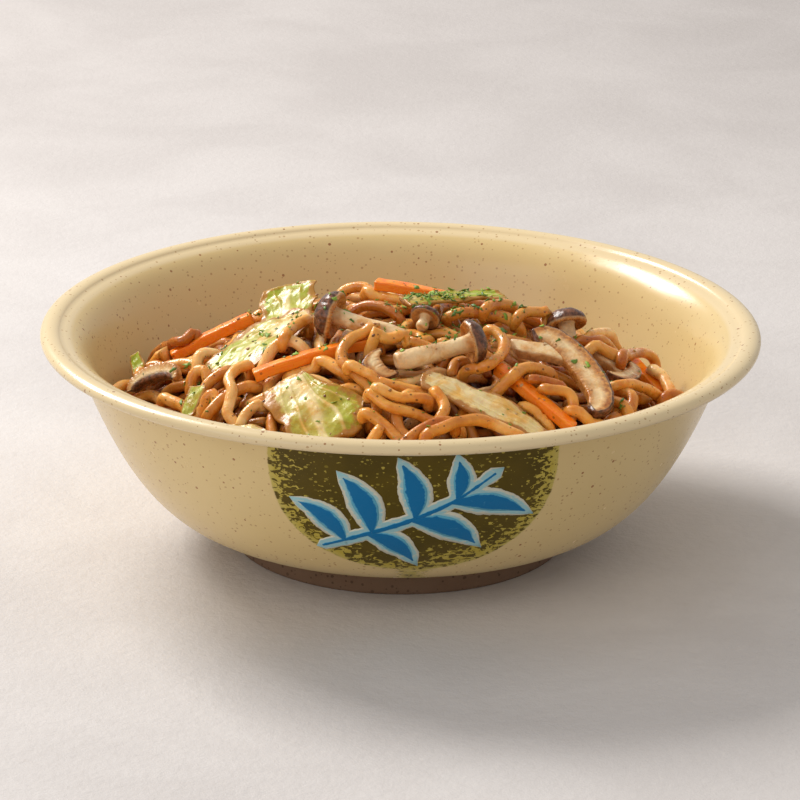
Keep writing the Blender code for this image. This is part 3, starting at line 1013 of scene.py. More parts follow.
@dataclass(frozen=True)
class HerbFinish:
    """Dried green herb, each flake a little different."""

    dark: Colour = (0.06, 0.14, 0.010)
    light: Colour = (0.27, 0.42, 0.035)

    def build(self) -> Material:
        """Makes the material.

        Returns:
            The material.
        """
        graph = MaterialGraph("herb_flakes")
        own = graph.attribute("tone")
        tone = graph.scaled(graph.noise(graph.place(), 700.0), 0.5, graph.times(own, 0.6))
        colour = graph.mix(graph.spread(tone, 0.2, 0.9), self.dark, self.light)
        graph.wear("Base Color", colour)
        graph.wear("Roughness", graph.blend(own, 0.35, 0.6))
        return graph.material


@dataclass(frozen=True)
class CrumbFinish:
    """Small browned bits of garlic and cabbage that stick in the sauce."""

    pale: Colour = (0.72, 0.55, 0.30)
    brown: Colour = (0.45, 0.20, 0.06)
    burnt: Colour = (0.13, 0.05, 0.015)
    sauce: Colour = (0.8, 0.6, 0.4)

    def build(self) -> Material:
        """Makes the material.

        Returns:
            The material.
        """
        graph = MaterialGraph("browned_crumbs")
        tone = graph.attribute("tone")
        base = graph.ramp(tone, (0.0, self.pale), (0.5, self.brown), (1.0, self.burnt))
        # The film adds the sauce, and painted shade deep in the heap.
        film = graph.film(graph.place(), base, self.sauce, 0.4, 300.0)
        graph.wear("Base Color", film.outputs["Color"])
        graph.wear("Roughness", film.outputs["Roughness"])
        return graph.material


@dataclass(frozen=True)
class FloorFinish:
    """Pale matt floor with faint clouding and pores, and painted shade that darkens it towards the back."""

    light: Colour = (0.66, 0.625, 0.61)
    dark: Colour = (0.55, 0.515, 0.50)
    # far: the tint of the painted shade towards the back of the floor.
    far: Colour = (0.74, 0.73, 0.725)
    pore: Colour = (0.34, 0.27, 0.22)

    def build(self) -> Material:
        """Makes the material.

        Returns:
            The material.
        """
        graph = MaterialGraph("pale_floor")
        place = graph.place()
        cloud = graph.noise(place, 9.0, 6.0, 0.62, 0.4)
        grain = graph.noise(place, 240.0, 3.0, 0.7)
        share = graph.scaled(grain, 0.35, graph.times(graph.spread(cloud, 0.3, 0.7), 0.65))
        stone = graph.mix(share, self.dark, self.light)
        pores = graph.spread(graph.noise(place, 60.0, 5.0, 0.75), 0.62, 0.72)
        stone = graph.mix(graph.times(pores, 0.12), stone, self.pore)
        # Painted shade: the floor is multiplied darker towards the back.
        behind = graph.spread(graph.axes(place)[1], 0.0, 0.7)
        colour = graph.mix(behind, stone, graph.mix(1.0, stone, self.far, "MULTIPLY"))
        graph.wear("Base Color", colour)
        graph.wear("Roughness", 0.75)
        graph.wear("Normal", graph.bump(grain, 0.0004))
        return graph.material


# The bowl


@dataclass
class Bowl:
    """The turned stoneware bowl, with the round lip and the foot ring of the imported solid."""

    rim_radius: float = 120.0
    lip_level: float = 73.0
    lip_half_width: float = 3.5
    lip_half_height: float = 2.3
    foot_outer: float = 56.5
    foot_inner: float = 50.5
    underside: float = 6.5
    flare_start: float = 0.93
    flare_bend: tuple[float, float] = (105.6, 72.6)
    lip_start: float = 152.0
    lip_end: float = -112.0
    steps: int = 288
    finish: GlazeFinish = field(default_factory=GlazeFinish)

    def lip(self, degrees: Array) -> Array:
        """Points of the round lip.

        Args:
            degrees: Angles round the lip's section, from the outside up.

        Returns:
            Radius and height of each.
        """
        angle = np.radians(degrees)
        centre = self.rim_radius - self.lip_half_width
        radius = centre + self.lip_half_width * np.cos(angle)
        return np.stack((radius, self.lip_level + self.lip_half_height * np.sin(angle)), axis=-1)

    def profile(self) -> tuple[Array, ...]:
        """The outline that is turned.

        Returns:
            Radius and height of each point, how far each is on the outside of the wall, how far it
            is bare clay, and how far it is on the lip.
        """
        inside = WALL.inner(np.linspace(0.02, self.flare_start, 44))
        floor = np.stack((np.linspace(0.01, inside[0, 0], 10)[:-1], np.full(9, inside[0, 1])), axis=-1)
        start, end = WALL.inner(np.array(self.flare_start)), self.lip(np.array(self.lip_start))
        corner = np.array(self.flare_bend)
        t = np.linspace(0, 1, 11)[1:-1, None]
        flare = start * (1 - t) ** 2 + corner * 2 * t * (1 - t) + end * t**2
        lip = self.lip(np.linspace(self.lip_start, self.lip_end, 30))
        outside = WALL.outer(np.linspace(1, 0.03, 84))
        foot_top = outside[-1]
        out, hollow, base = self.foot_outer, self.foot_inner, self.underside
        bead = np.array(((foot_top[0] - 0.25, foot_top[1] - 0.55), (out - 0.1, foot_top[1] - 0.75)))
        outer_foot = ((out, 8.4), (out, 5.0), (out, 1.2), (out - 0.25, 0.35), (out - 0.7, 0.0))
        inner_foot = ((hollow + 0.4, 0.0), (hollow, 0.3), (hollow - 0.5, base - 0.6), (hollow - 1.4, base))
        foot = np.array((*outer_foot, *inner_foot, (0.01, base)))
        points = np.concatenate((floor, inside, flare, lip, outside, bead, foot))
        on_wall, clay, on_lip = np.zeros((3, len(points)))
        first = len(floor) + len(inside) + len(flare) + len(lip)
        on_wall[first : first + len(outside)] = 1
        clay[first + len(outside) + 1 :] = 1
        on_lip[first - len(lip) - 2 : first] = 1
        return points, on_wall, clay, on_lip

    def build(self) -> Piece:
        """Turns the outline round Z and dresses it.

        Returns:
            The bowl.
        """
        profile, on_wall, clay, on_lip = self.profile()
        rings, _ = turned(profile, self.steps)
        parts = MeshParts()
        parts.tube(rings, {"outside": on_wall[:, None], "clay": clay[:, None], "lip": on_lip[:, None]})
        return parts.make("bowl_glazed", self.finish.build(), "glaze", "bowl")


@dataclass(frozen=True)
class Stroke:
    """One brush stroke on the panel: points of x, height and half width."""

    points: tuple[Place, ...]


@dataclass
class PanelSpray:
    """A generic leafy spray in blue enamel, each stroke laid on a wider pale one."""

    outline: float = 2.0
    relief: float = 0.16
    sunk: float = 0.25
    blue: EnamelFinish = EnamelFinish("blue_enamel", (0.0, 0.145, 0.35), (0.12, 0.42, 0.56), 0.0)
    pale: EnamelFinish = EnamelFinish("pale_enamel", (0.30, 0.52, 0.56), (0.66, 0.60, 0.46), 0.10)

    @staticmethod
    def leaf(root: tuple[float, float], tip: tuple[float, float], width: float, bow: float) -> Stroke:
        """A pointed leaf.

        Args:
            root: Where it starts, as x and height.
            tip: Where it ends.
            width: Its widest half width.
            bow: How far its middle line bends to the left of the way to the tip.

        Returns:
            The stroke.
        """
        start, end = np.array(root), np.array(tip)
        side = np.array((-(end - start)[1], (end - start)[0])) / np.linalg.norm(end - start)
        points = []
        for share, wide in ((0.0, 0.16), (0.14, 0.55), (0.34, 0.95), (0.55, 1.0), (0.78, 0.62), (1.0, 0.05)):
            place = start + (end - start) * share + side * bow * 4 * share * (1 - share)
            points.append((float(place[0]), float(place[1]), width * wide))
        return Stroke(tuple(points))

    def strokes(self) -> list[Stroke]:
        """The spray: one curved stem and the leaves on both sides of it."""
        stem = Stroke(
            ((-24.0, 30.0, 0.5), (-12.0, 35.5, 0.9), (3.0, 42.0, 0.95), (17.0, 49.5, 0.8), (30.0, 59.5, 0.35))
        )
        return [
            stem,
            self.leaf((-17.0, 33.2), (-31.5, 47.5), 3.1, -2.2),
            self.leaf((-8.5, 37.0), (-17.5, 58.5), 3.7, -2.4),
            self.leaf((5.0, 43.2), (1.0, 64.0), 3.5, -2.0),
            self.leaf((18.0, 50.5), (18.5, 65.0), 2.6, -1.2),
            self.leaf((-10.0, 36.2), (4.5, 24.5), 3.3, 2.4),
            self.leaf((4.0, 42.2), (24.0, 31.5), 3.8, 2.8),
            self.leaf((16.5, 49.0), (39.5, 43.0), 3.5, 2.4),
        ]

    def lay(self, parts: MeshParts, stroke: Stroke, grow: float, lift: float, seed: int) -> None:
        """Lays one stroke on the outside of the wall.

        Args:
            parts: The piece that it joins.
            stroke: Its points.
            grow: What is added to its half width.
            lift: How far it stands over the glaze.
            seed: Picks the unevenness of its edges.
        """
        flat = [(x, height, 0.0, wide) for x, height, wide in stroke.points]
        line = smooth_path(flat, 0.5)
        along = unit(np.gradient(line[:, :2], axis=0))
        side = np.stack((-along[:, 1], along[:, 0]), axis=-1)
        draw = np.random.default_rng(seed)
        rough = np.convolve(draw.normal(size=len(line) + 8), np.ones(5) / 5, "same")[4:-4] * 0.34
        columns = np.linspace(-1, 1, 9)
        half = line[:, 3] + grow
        ends = np.array((line[0, :2] - along[0] * grow, line[-1, :2] + along[-1] * grow * 1.6))
        middle = np.vstack((ends[:1], line[:, :2], ends[1:]))
        half = np.concatenate(([0.12], half + rough * min(1.0, grow + 0.6), [0.06]))
        half = np.maximum(half, 0.06)
        side = np.vstack((side[:1], side, side[-1:]))
        flat_places = middle[:, None] + side[:, None] * (half[:, None] * columns)[..., None]
        height = flat_places[..., 1]
        radius, share = WALL.outer_at(height)
        across = np.arcsin(np.clip(flat_places[..., 0] / radius, -0.99, 0.99))
        outward = WALL.normal(share)
        rise = lift + self.relief * (1 - np.abs(columns) ** 3)
        layers = []
        for out in (rise, np.full(len(columns), -self.sunk)):
            far = radius + outward[..., 0] * out
            spots = (far * np.sin(across), -far * np.cos(across), height + outward[..., 1] * out)
            layers.append(np.stack(spots, axis=-1))
        parts.slab(*layers, {"rim": np.broadcast_to(np.abs(columns), height.shape)})

    def build(self) -> list[Piece]:
        """Makes the pale strokes and the blue ones over them.

        Returns:
            The two pieces.
        """
        pale, blue = MeshParts(), MeshParts()
        for index, stroke in enumerate(self.strokes()):
            self.lay(pale, stroke, self.outline, 0.03, 40 + index)
            self.lay(blue, stroke, 0.0, 0.17, 80 + index)
        return [
            pale.make("panel_spray_outline", self.pale.build(), "glaze"),
            blue.make("panel_spray_blue", self.blue.build(), "glaze"),
        ]


# Toppings


@dataclass(frozen=True)
class CarrotStrip:
    """A strip of carrot, from start to end, both as x, y and height over the bare core."""

    name: str
    start: Place
    end: Place
    width: float
    height: float
    arch: float

    def build(self, material: Material) -> Piece:
        """Makes the strip: cut corners, flat ends, and faces that aren't quite flat.

        Args:
            material: Its material.

        Returns:
            The strip.
        """
        start, end = HEAP.over(self.start), HEAP.over(self.end)
        count = 46
        share = np.concatenate(([0.0, 0.004, 0.012], np.linspace(0.03, 0.97, count - 6), [0.988, 0.996, 1.0]))
        path = start + (end - start) * share[:, None]
        path[:, 2] += self.arch * 4 * share * (1 - share) + self.height * 0.02
        pinch = np.interp(share, (0, 0.012, 0.988, 1), (0.86, 1, 1, 0.86))
        halves = np.stack((self.width / 2 * (1 - 0.12 * share), np.full(count, self.height / 2)), axis=-1)
        rings = sweep(path, halves * pinch[:, None], 28, 3.4)
        seed = seed_of(self.name)
        rings += (rings - path[:, None]) * (0.035 * smooth_noise(rings, 7.0, seed))[..., None]
        rings[..., 2] += 0.10 * smooth_noise(rings[..., :2], 9.0, seed + 1)
        angles = np.linspace(0, 1, 28, endpoint=False)
        parts = MeshParts()
        parts.tube(rings, {"along": share[:, None] + np.zeros(28), "across": angles + np.zeros((count, 1))})
        return parts.make(f"{self.name}_strip", material, "carrot", self.name)


@dataclass(frozen=True)
class CabbageLeaf:
    """A piece of cabbage draped over the strands.

    root and tip are x and y, widths are the reach to the left and right at even stations, lifts
    the heights of the root, middle and tip over the bare core, and greens how green the root, the
    tip, and the two long edges are.
    """

    name: str
    root: tuple[float, float]
    tip: tuple[float, float]
    widths: tuple[tuple[float, float], ...]
    lifts: tuple[float, float, float]
    wave: float
    thickness: float
    greens: tuple[float, float, float, float] = (0.1, 0.7, 0.5, 0.5)
    rib: float = 0.6
    stations: int = 84
    files: int = 52

    def build(self, material: Material) -> Piece:
        """Makes the leaf: folds, veins that stand up, and a torn thin rim.

        Args:
            material: Its material.

        Returns:
            The leaf.
        """
        key = len(self.name)
        share = np.linspace(0, 1, self.stations)[:, None]
        side = np.linspace(1, -1, self.files)[None, :]
        start, end = np.array(self.root, float), np.array(self.tip, float)
        along = (end - start) / np.linalg.norm(end - start)
        left = np.array((-along[1], along[0]))
        reach = np.array([between(self.widths, float(s)) for s in share[:, 0]])
        reach = np.where(side > 0, reach[:, :1], reach[:, 1:])
        ragged = 1 + 0.06 * np.sin(3.4 * share * math.pi + 1.5 * side + key)
        length = float(np.linalg.norm(end - start))
        flat = np.stack((share * length + 0 * side, side * reach), axis=-1)
        torn = 1 + 0.04 * smooth_noise(flat, 9.0, key) * np.abs(side) ** 2
        from_middle = np.abs(share - 0.5) * 2
        ends = 0.06 * min(length, 14.0) * smooth_noise(flat[..., 1:], 11.0, key + 5) * from_middle**6
        plan = start + (end - start) * share[..., None] + left * (side * reach * ragged * torn)[..., None]
        plan = plan + along * (ends * np.sign(share - 0.5))[..., None]
        first, middle, last = self.lifts
        lift = first * (1 - share) ** 2 + middle * 2 * share * (1 - share) + last * share**2
        fold = np.sin(4.6 * share * math.pi + 2.2 * side + key) + 1
        rise = lift + self.wave * (0.4 + 0.6 * fold) * (0.25 + 0.45 * np.abs(side))
        crinkle = smooth_noise(flat, 7.0, key + 3) * (0.16 + 0.20 * np.abs(side))
        rise = rise + np.maximum(crinkle, -0.25)
        vein = self.veins(share, side)
        base = HEAP.top(plan[..., 0], plan[..., 1]) - HEAP.core_drop
        middle_z = base + rise + 0.35 + self.thickness / 2
        tapered = self.thickness * (0.5 + 0.5 * (1 - side**4)) * np.ones_like(share)
        middle_z = middle_z + 0.10 * smooth_noise(plan, 3.2, key + 9)
        top = np.dstack((plan, middle_z + tapered / 2 + 0.45 * vein))
        bottom = np.dstack((plan, middle_z - tapered / 2))
        edge = np.maximum(np.abs(side) ** 2.2 + 0 * share, from_middle**7 + 0 * side)
        at_root, at_tip, at_left, at_right = self.greens
        at_side = np.where(side > 0, at_left, at_right)
        green = at_root + (at_tip - at_root) * share + at_side * np.abs(side) ** 1.5
        parts = MeshParts()
        parts.slab(top, bottom, {"green": green, "edge": edge, "vein": np.clip(vein, 0, 1)})
        return parts.make(f"{self.name}_leaf", material, "cabbage", self.name)

    def veins(self, share: Array, side: Array) -> Array:
        """How far each point stands on a vein: a broad midrib, and a fan of veins beside it.

        Args:
            share: How far along the leaf.
            side: How far out, from 1 on the left to -1.

        Returns:
            The height of the veins, from 0 to about 1.
        """
        broad = 0.24 - 0.14 * share
        midrib = np.exp(-((side / broad) ** 2)) * (1.3 - 0.5 * share)
        spread_out = 2.2 + 1.6 * (1 - share)
        fan = side * spread_out + 0.30 * np.sin(4.0 * share + side)
        nearest = np.abs(fan - np.round(fan))
        beside = np.exp(-((nearest / 0.13) ** 2)) * (1 - np.abs(side) ** 3) * 0.9
        net = fan * 1.7 + share * 9.0
        threads = np.exp(-((np.abs(net - np.round(net)) / 0.10) ** 2)) * 0.3 * (1 - np.abs(side) ** 4)
        return np.maximum(np.maximum(midrib, beside), threads) * self.rib


@dataclass(frozen=True)
class WholeMushroom:
    """A whole small mushroom: foot is the end of its stem, and cap the middle of its underside."""

    name: str
    foot: Place
    cap: Place
    radius: float
    height: float
    stem: float
    curve: float
    steps: int = 132
    gills: int = 44
    gill_depth: float = 0.26

    def build(self, material: Material) -> Piece:
        """Turns the mushroom: domed skin, fine gills and an uneven stem.

        Args:
            material: Its material.

        Returns:
            The mushroom.
        """
        foot, cap = HEAP.over(self.foot), HEAP.over(self.cap)
        length = float(np.linalg.norm(cap - foot))
        radius, height, stem = self.radius, self.height, self.stem
        dome = (
            (0, 1), (0.45, 0.92), (0.80, 0.66), (0.99, 0.25), (0.955, -0.08), (0.86, -0.12), (0.72, -0.02)
        )
        neck = ((1.25, 0.12), (1.0, -0.05))
        stalk = ((0.95, 0.70), (1.10, 0.30), (0.98, 0.06), (0.70, 0.0))
        knots = [(max(0.01, wide * radius), length + high * height, 0) for wide, high in dome]
        knots += [(wide * stem, length + high * height, 0) for wide, high in neck]
        knots += [(wide * stem, high * length, 0) for wide, high in stalk]
        profile = smooth_path([*knots, (0.01, 0.15, 0)], 0.42)[:, :2]
        profile[:, 0] = np.maximum(profile[:, 0], 0.01)
        under = (profile[:, 0] > 1.15 * stem) & (profile[:, 1] < length + 0.2 * height)
        outer = np.argmax(profile[:, 0])
        order = np.arange(len(profile))
        gill = (under & (order > outer + 2)).astype(float)
        skin = np.clip(1 - (order - outer - 1) / 2.0, 0, 1) * (order <= outer + 3)
        rings, angles = turned(profile, self.steps)
        rings[..., 2] += self.gill_depth * np.cos(self.gills * angles)[None, :] * gill[:, None]
        seed = seed_of(self.name)
        bumps = 1 + 0.028 * smooth_noise(rings, 6.0, seed) + 0.012 * smooth_noise(rings, 2.2, seed + 1)
        rings[..., :2] *= bumps[..., None]
        rings[..., 2] += 0.12 * smooth_noise(rings[..., :2], 5.0, seed + 2)
        below = np.clip(1 - rings[..., 2] / length, 0, 1)
        rings[..., 0] += self.curve * below * (1 - below) * 4
        turn = np.array(Vector(cap - foot).to_track_quat("Z", "Y").to_matrix())
        parts = MeshParts()
        on_stem = (order > outer) & (gill < 0.5)
        browned = 0.22 + 0.30 * np.clip(smooth_noise(rings, 7.0, seed + 4), -0.6, 1.5)
        values = {"skin": skin[:, None], "gill": gill[:, None], "sear": browned * on_stem[:, None]}
        parts.tube(rings @ turn.T + foot, values)
        return parts.make(f"{self.name}_whole", material, "mushroom", self.name)


@dataclass(frozen=True)
class MushroomSlice:
    """A mushroom cut lengthwise.

    first and second are the rims of its cap and stem_tip its stem's end. A curl has its skin on
    the hollow side, as its rim has rolled over.
    """

    name: str
    first: Place
    second: Place
    stem_tip: Place
    height: float
    stem: float
    thickness: float
    curl: bool = False
    sides: int = 48
    stations: int = 120

    def build(self, material: Material) -> Piece:
        """Makes the cap's section, with rims that curl in, and the cut stem.

        Args:
            material: Its material.

        Returns:
            The slice.
        """
        first, second, tip = HEAP.over(self.first), HEAP.over(self.second), HEAP.over(self.stem_tip)
        middle = (first + second) / 2
        radius = float(np.linalg.norm(second - first)) / 2
        across = unit(second - first)
        down = tip - middle
        stem_at = float(down @ across)
        down = down - across * stem_at
        length = float(np.linalg.norm(down))
        upward = -unit(down)
        axes = np.stack((across, upward, np.cross(across, upward)))
        parts = MeshParts()
        self.add_cap(parts, middle, radius, axes)
        if length > self.stem:
            self.add_stem(parts, middle, radius, stem_at, length, axes)
        return parts.make(f"{self.name}_cut", material, "mushroom", self.name)

    def section(self, inner: Array, outer: Array, thick: Array, squareness: float) -> Arrays:
        """Rings between two lines of the cut face.

        Args:
            inner: Points of the inner line, as x and y on the cut face.
            outer: Points of the outer line.
            thick: Half thickness at each.
            squareness: How sharp the corners of a ring are.

        Returns:
            The rings, and how far each point lies from the inner line to the outer.
        """
        angles = round_angles(self.sides)
        x, y = soft_square(angles, squareness)
        share = 0.5 + 0.5 * x
        flat = inner[:, None] + (outer - inner)[:, None] * share[None, :, None]
        return np.dstack((flat, thick[:, None] * y[None, :])), np.broadcast_to(share, flat.shape[:2])

    def add_cap(self, parts: MeshParts, middle: Array, radius: float, axes: Array) -> None:
        """Adds the cap's section.

        Args:
            parts: The piece that it joins.
            middle: The middle of the line from rim to rim.
            radius: Half the cap's width.
            axes: Across, up and out of the cut face, one to a row.
        """
        turn = 0.50
        angle = np.linspace(-turn, math.pi + turn, self.stations)
        arch = np.sign(np.sin(angle)) * np.abs(np.sin(angle)) ** 0.8
        lean = np.abs(np.cos(angle))
        bulge = np.where(arch > 0, arch, 0.55 * arch)
        hollow = 0.14 * (1 - lean**3) - 0.10 * lean**6
        outer = np.stack((radius * np.cos(angle), self.height * bulge), axis=-1)
        inner = np.stack((0.72 * radius * np.cos(angle) * (0.9 + 0.1 * lean), self.height * hollow), axis=-1)
        place = np.linspace(-1, 1, self.stations)
        ends = np.clip(1 - np.abs(place) ** 16, 0.1, 1)
        rolled = np.clip((np.abs(place) - 0.80) / 0.05, 0, 1)
        thick = self.thickness / 2 * (0.78 + 0.22 * np.sin(np.clip(angle, 0, math.pi)) + 0.12 * rolled) * ends
        centre = (inner + outer) / 2
        shrink = (0.25 + 0.75 * ends)[:, None]
        inner, outer = (centre + (line - centre) * shrink for line in (inner, outer))
        rings, share = self.section(inner, outer, thick, 3.0)
        seed = seed_of(self.name)
        rings = rings.copy()
        facing = np.abs(rings[..., 2]) / np.maximum(thick[:, None], 0.1)
        rings[..., 2] += 0.14 * smooth_noise(rings, 4.5, seed) + 0.05 * radius * (rings[..., 0] / radius) ** 2
        rings[..., :2] *= (1 + 0.012 * smooth_noise(rings, 3.5, seed + 1))[..., None]
        away = 1 - share if self.curl else share
        gill = np.clip(1 - away / 0.30, 0, 1) ** 0.5
        comb = np.cos(angle[:, None] * radius * 3.1 + 1.3 * np.sin(angle[:, None] * 9)) * gill
        rings[..., 2] += 0.14 * comb * np.sign(rings[..., 2]) * (1 - rolled[:, None])
        groove = 0.22 * np.exp(-(((away - 0.50) / 0.16) ** 2))
        rings[..., 2] -= groove * np.sign(rings[..., 2]) * (facing > 0.5)
        edge = np.clip((away - (0.66 if self.curl else 0.88)) / 0.04, 0, 1)
        skin = np.maximum(edge, np.clip((away - 0.10) / 0.2, 0, 1) * rolled[:, None])
        sear = np.clip((away - 0.56) / 0.16, 0, 1) * (1 - edge)
        values = {"skin": np.clip(skin, 0, 1), "gill": np.clip(gill, 0, 1), "sear": np.clip(sear, 0, 1)}
        parts.tube(rings @ axes + middle, values)

    def add_stem(
        self, parts: MeshParts, middle: Array, radius: float, stem_at: float, length: float, axes: Array
    ) -> None:
        """Adds the cut stem, which slants to its tip.

        Args:
            parts: The piece that it joins.
            middle: The middle of the line from rim to rim.
            radius: Half the cap's width.
            stem_at: Where the stem's tip lies along that line.
            length: The stem's length from that line.
            axes: Across, up and out of the cut face, one to a row.
        """
        room = max(0.0, 0.66 * radius - 1.1 * self.stem)
        root_at = max(-room, min(room, stem_at))
        room = max(0.0, radius - 1.1 * self.stem)
        tip_at = max(-room, min(room, stem_at))
        share = np.concatenate((np.linspace(0, 0.96, 30), (0.985, 1.0)))
        top = 0.50 * self.height
        height = top + (-length - top) * share
        slant = np.clip((share - 0.30) / 0.70, 0, 1)
        at = root_at + (tip_at - root_at) * slant
        half = self.stem * (1.0 + 0.40 * np.exp(-(((share - 0.18) / 0.20) ** 2)))
        half = half * np.interp(share, (0, 0.96, 1), (1, 1, 0.82))
        left = np.stack((at - half, height), axis=-1)
        right = np.stack((at + half, height), axis=-1)
        thick = self.thickness / 2 * 0.90 * np.interp(share, (0, 0.96, 1), (0.9, 1, 0.8))
        rings, away = self.section(left, right, thick, 2.4)
        seed = seed_of(self.name) + 7
        rings = rings.copy()
        rings[..., 2] += 0.12 * smooth_noise(rings, 5.0, seed)
        browned = np.clip((np.abs(away - 0.5) * 2 - 0.72) / 0.25, 0, 1) * 0.8
        none = np.zeros(away.shape)
        parts.tube(rings @ axes + middle, {"skin": none, "gill": browned, "sear": none})


@dataclass
class Toppings:
    """Every piece that lies on the noodles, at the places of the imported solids."""

    carrots: tuple[CarrotStrip, ...] = (
        CarrotStrip("carrot_left", (-77.0, 11.0, 4.2), (-50.0, 14.5, 5.0), 4.4, 3.8, 0.4),
        CarrotStrip("carrot_center", (-47.5, -37.6, 5.2), (-10.0, -30.5, 4.6), 4.4, 3.8, 1.2),
        CarrotStrip("carrot_back", (-8.4, 18.0, 7.2), (15.5, 9.6, 4.8), 4.6, 3.4, 0.3),
        CarrotStrip("carrot_right", (31.6, -37.5, 4.4), (55.6, -56.5, 4.4), 4.4, 3.8, 0.4),
        CarrotStrip("carrot_far_right", (78.6, 15.5, 4.0), (88.0, -2.0, 3.6), 4.4, 3.4, 0.2),
    )
    leaves: tuple[CabbageLeaf, ...] = (
        CabbageLeaf(
            "cabbage_left_back", (-39, 3), (-38, 22), ((7, 9), (9, 10), (9, 9)), (1, 4, 9), 1.2, 1.1,
            (0.25, 0.75, 0.4, 0.2),
        ),
        CabbageLeaf(
            "cabbage_left_long", (-31, -3), (-60, -23), ((7, 7), (11, 13), (11, 14), (8, 10)), (5, 3, 1),
            1.1, 1.5, (0.0, 0.75, 0.35, 0.15), 0.8,
        ),
        CabbageLeaf(
            "cabbage_front", (-33, -43.5), (-24, -71), ((2, 13), (8, 12), (17, 10), (13, 7)), (2.5, 2.5, 0),
            1.2, 1.5, (0.05, 0.35, 0.75, 0.15), 0.9,
        ),
        CabbageLeaf(
            "cabbage_front_rib", (8, -50.5), (47, -61.5), ((3.5, 4.5), (4.5, 6), (6, 6.5), (2.5, 2.5)),
            (4.5, 2.5, 0.5), 0.5, 2.4, (0.0, 0.0, 0.0, 0.1), 0.9,
        ),
        CabbageLeaf(
            "cabbage_right_back", (1, -4), (34, 13), ((3.5, 5), (5, 5.5), (5, 5), (4.5, 4)), (4.5, 4, 7.0),
            0.8, 1.6, (0.1, 0.95, 0.2, 0.35), 0.6,
        ),
        CabbageLeaf(
            "cabbage_bit_wall", (-87.5, 3), (-90, 12), ((1.5, 2.2), (2, 2.4), (1.5, 1.5)), (4, 7, 12), 0.5,
            1.0, (0.9, 0.9, 0.2, 0.2), 0.2,
        ),
        CabbageLeaf(
            "cabbage_bit_left", (-66, -32), (-70, -40), ((3, 3), (4, 3.5), (2, 2)), (5, 3.5, 1.5), 0.4, 1.6,
            (0.55, 0.6, 0.1, 0.1), 0.3,
        ),
        CabbageLeaf(
            "cabbage_bit_front", (-56, -57), (-43.5, -64.5), ((2, 2), (2.8, 2.6), (2, 2)), (2, 2, 2), 0.4,
            1.8, (0.1, 0.1, 0.1, 0.1), 0.5,
        ),
    )
    wholes: tuple[WholeMushroom, ...] = (
        WholeMushroom("mushroom_left", (1.5, -29.0, 5.5), (-21.5, -21.5, 11.0), 8.0, 6.6, 2.9, 0.8),
        WholeMushroom("mushroom_center", (-1.6, -44.5, 7.2), (22.5, -36.0, 10.5), 7.4, 5.4, 3.0, -1.0),
        WholeMushroom("mushroom_right_back", (57.5, -3.0, 2.0), (55.5, 3.5, 9.0), 7.0, 5.4, 2.7, 0.0),
        WholeMushroom("mushroom_top", (6.7, -18.5, 3.1), (8.1, -14.5, 4.8), 5.2, 3.0, 1.9, 0.0),
    )
    slices: tuple[MushroomSlice, ...] = (
        MushroomSlice(
            "mushroom_slice_center", (-7.7, -41.0, 8.7), (-1.7, -49.0, 5.5), (-3.4, -44.4, 7.1), 8.0, 1.8,
            2.4,
        ),
        MushroomSlice(
            "mushroom_slice_right", (44.0, -16.5, 9.0), (64.8, -48.8, 6.4), (35.0, -21.0, 5.6), 11.5, 3.6,
            4.6,
        ),
        MushroomSlice(
            "mushroom_slice_far_right", (77.5, 0.0, 6.5), (68.5, -17.5, 5.0), (64.5, -3.5, 5.5), 6.5, 2.6,
            3.6,
        ),
        MushroomSlice(
            "mushroom_slice_left", (-90.3, -5.0, 5.1), (-72.8, -17.0, 5.1), (-81.6, -12.0, 3.7), 7.0, 3.0,
            3.6, True,
        ),
    )

    def build(self) -> list[Piece]:
        """Makes every topping.

        Returns:
            Their objects.
        """
        carrot = CarrotFinish().build()
        cabbage = CabbageFinish().build()
        mushroom = MushroomFinish().build()
        made = [strip.build(carrot) for strip in self.carrots]
        made += [leaf.build(cabbage) for leaf in self.leaves]
        made += [whole.build(mushroom) for whole in self.wholes]
        made += [cut.build(mushroom) for cut in self.slices]
        return made


# The noodles


def tree_of(piece: Piece) -> BVHTree:
    """A search tree over a piece's faces, in metres.

    Args:
        piece: The piece.

    Returns:
        The tree.
    """
    bm = bmesh.new()
    bm.from_mesh(piece.data)
    tree = BVHTree.FromBMesh(bm)
    bm.free()
    return tree


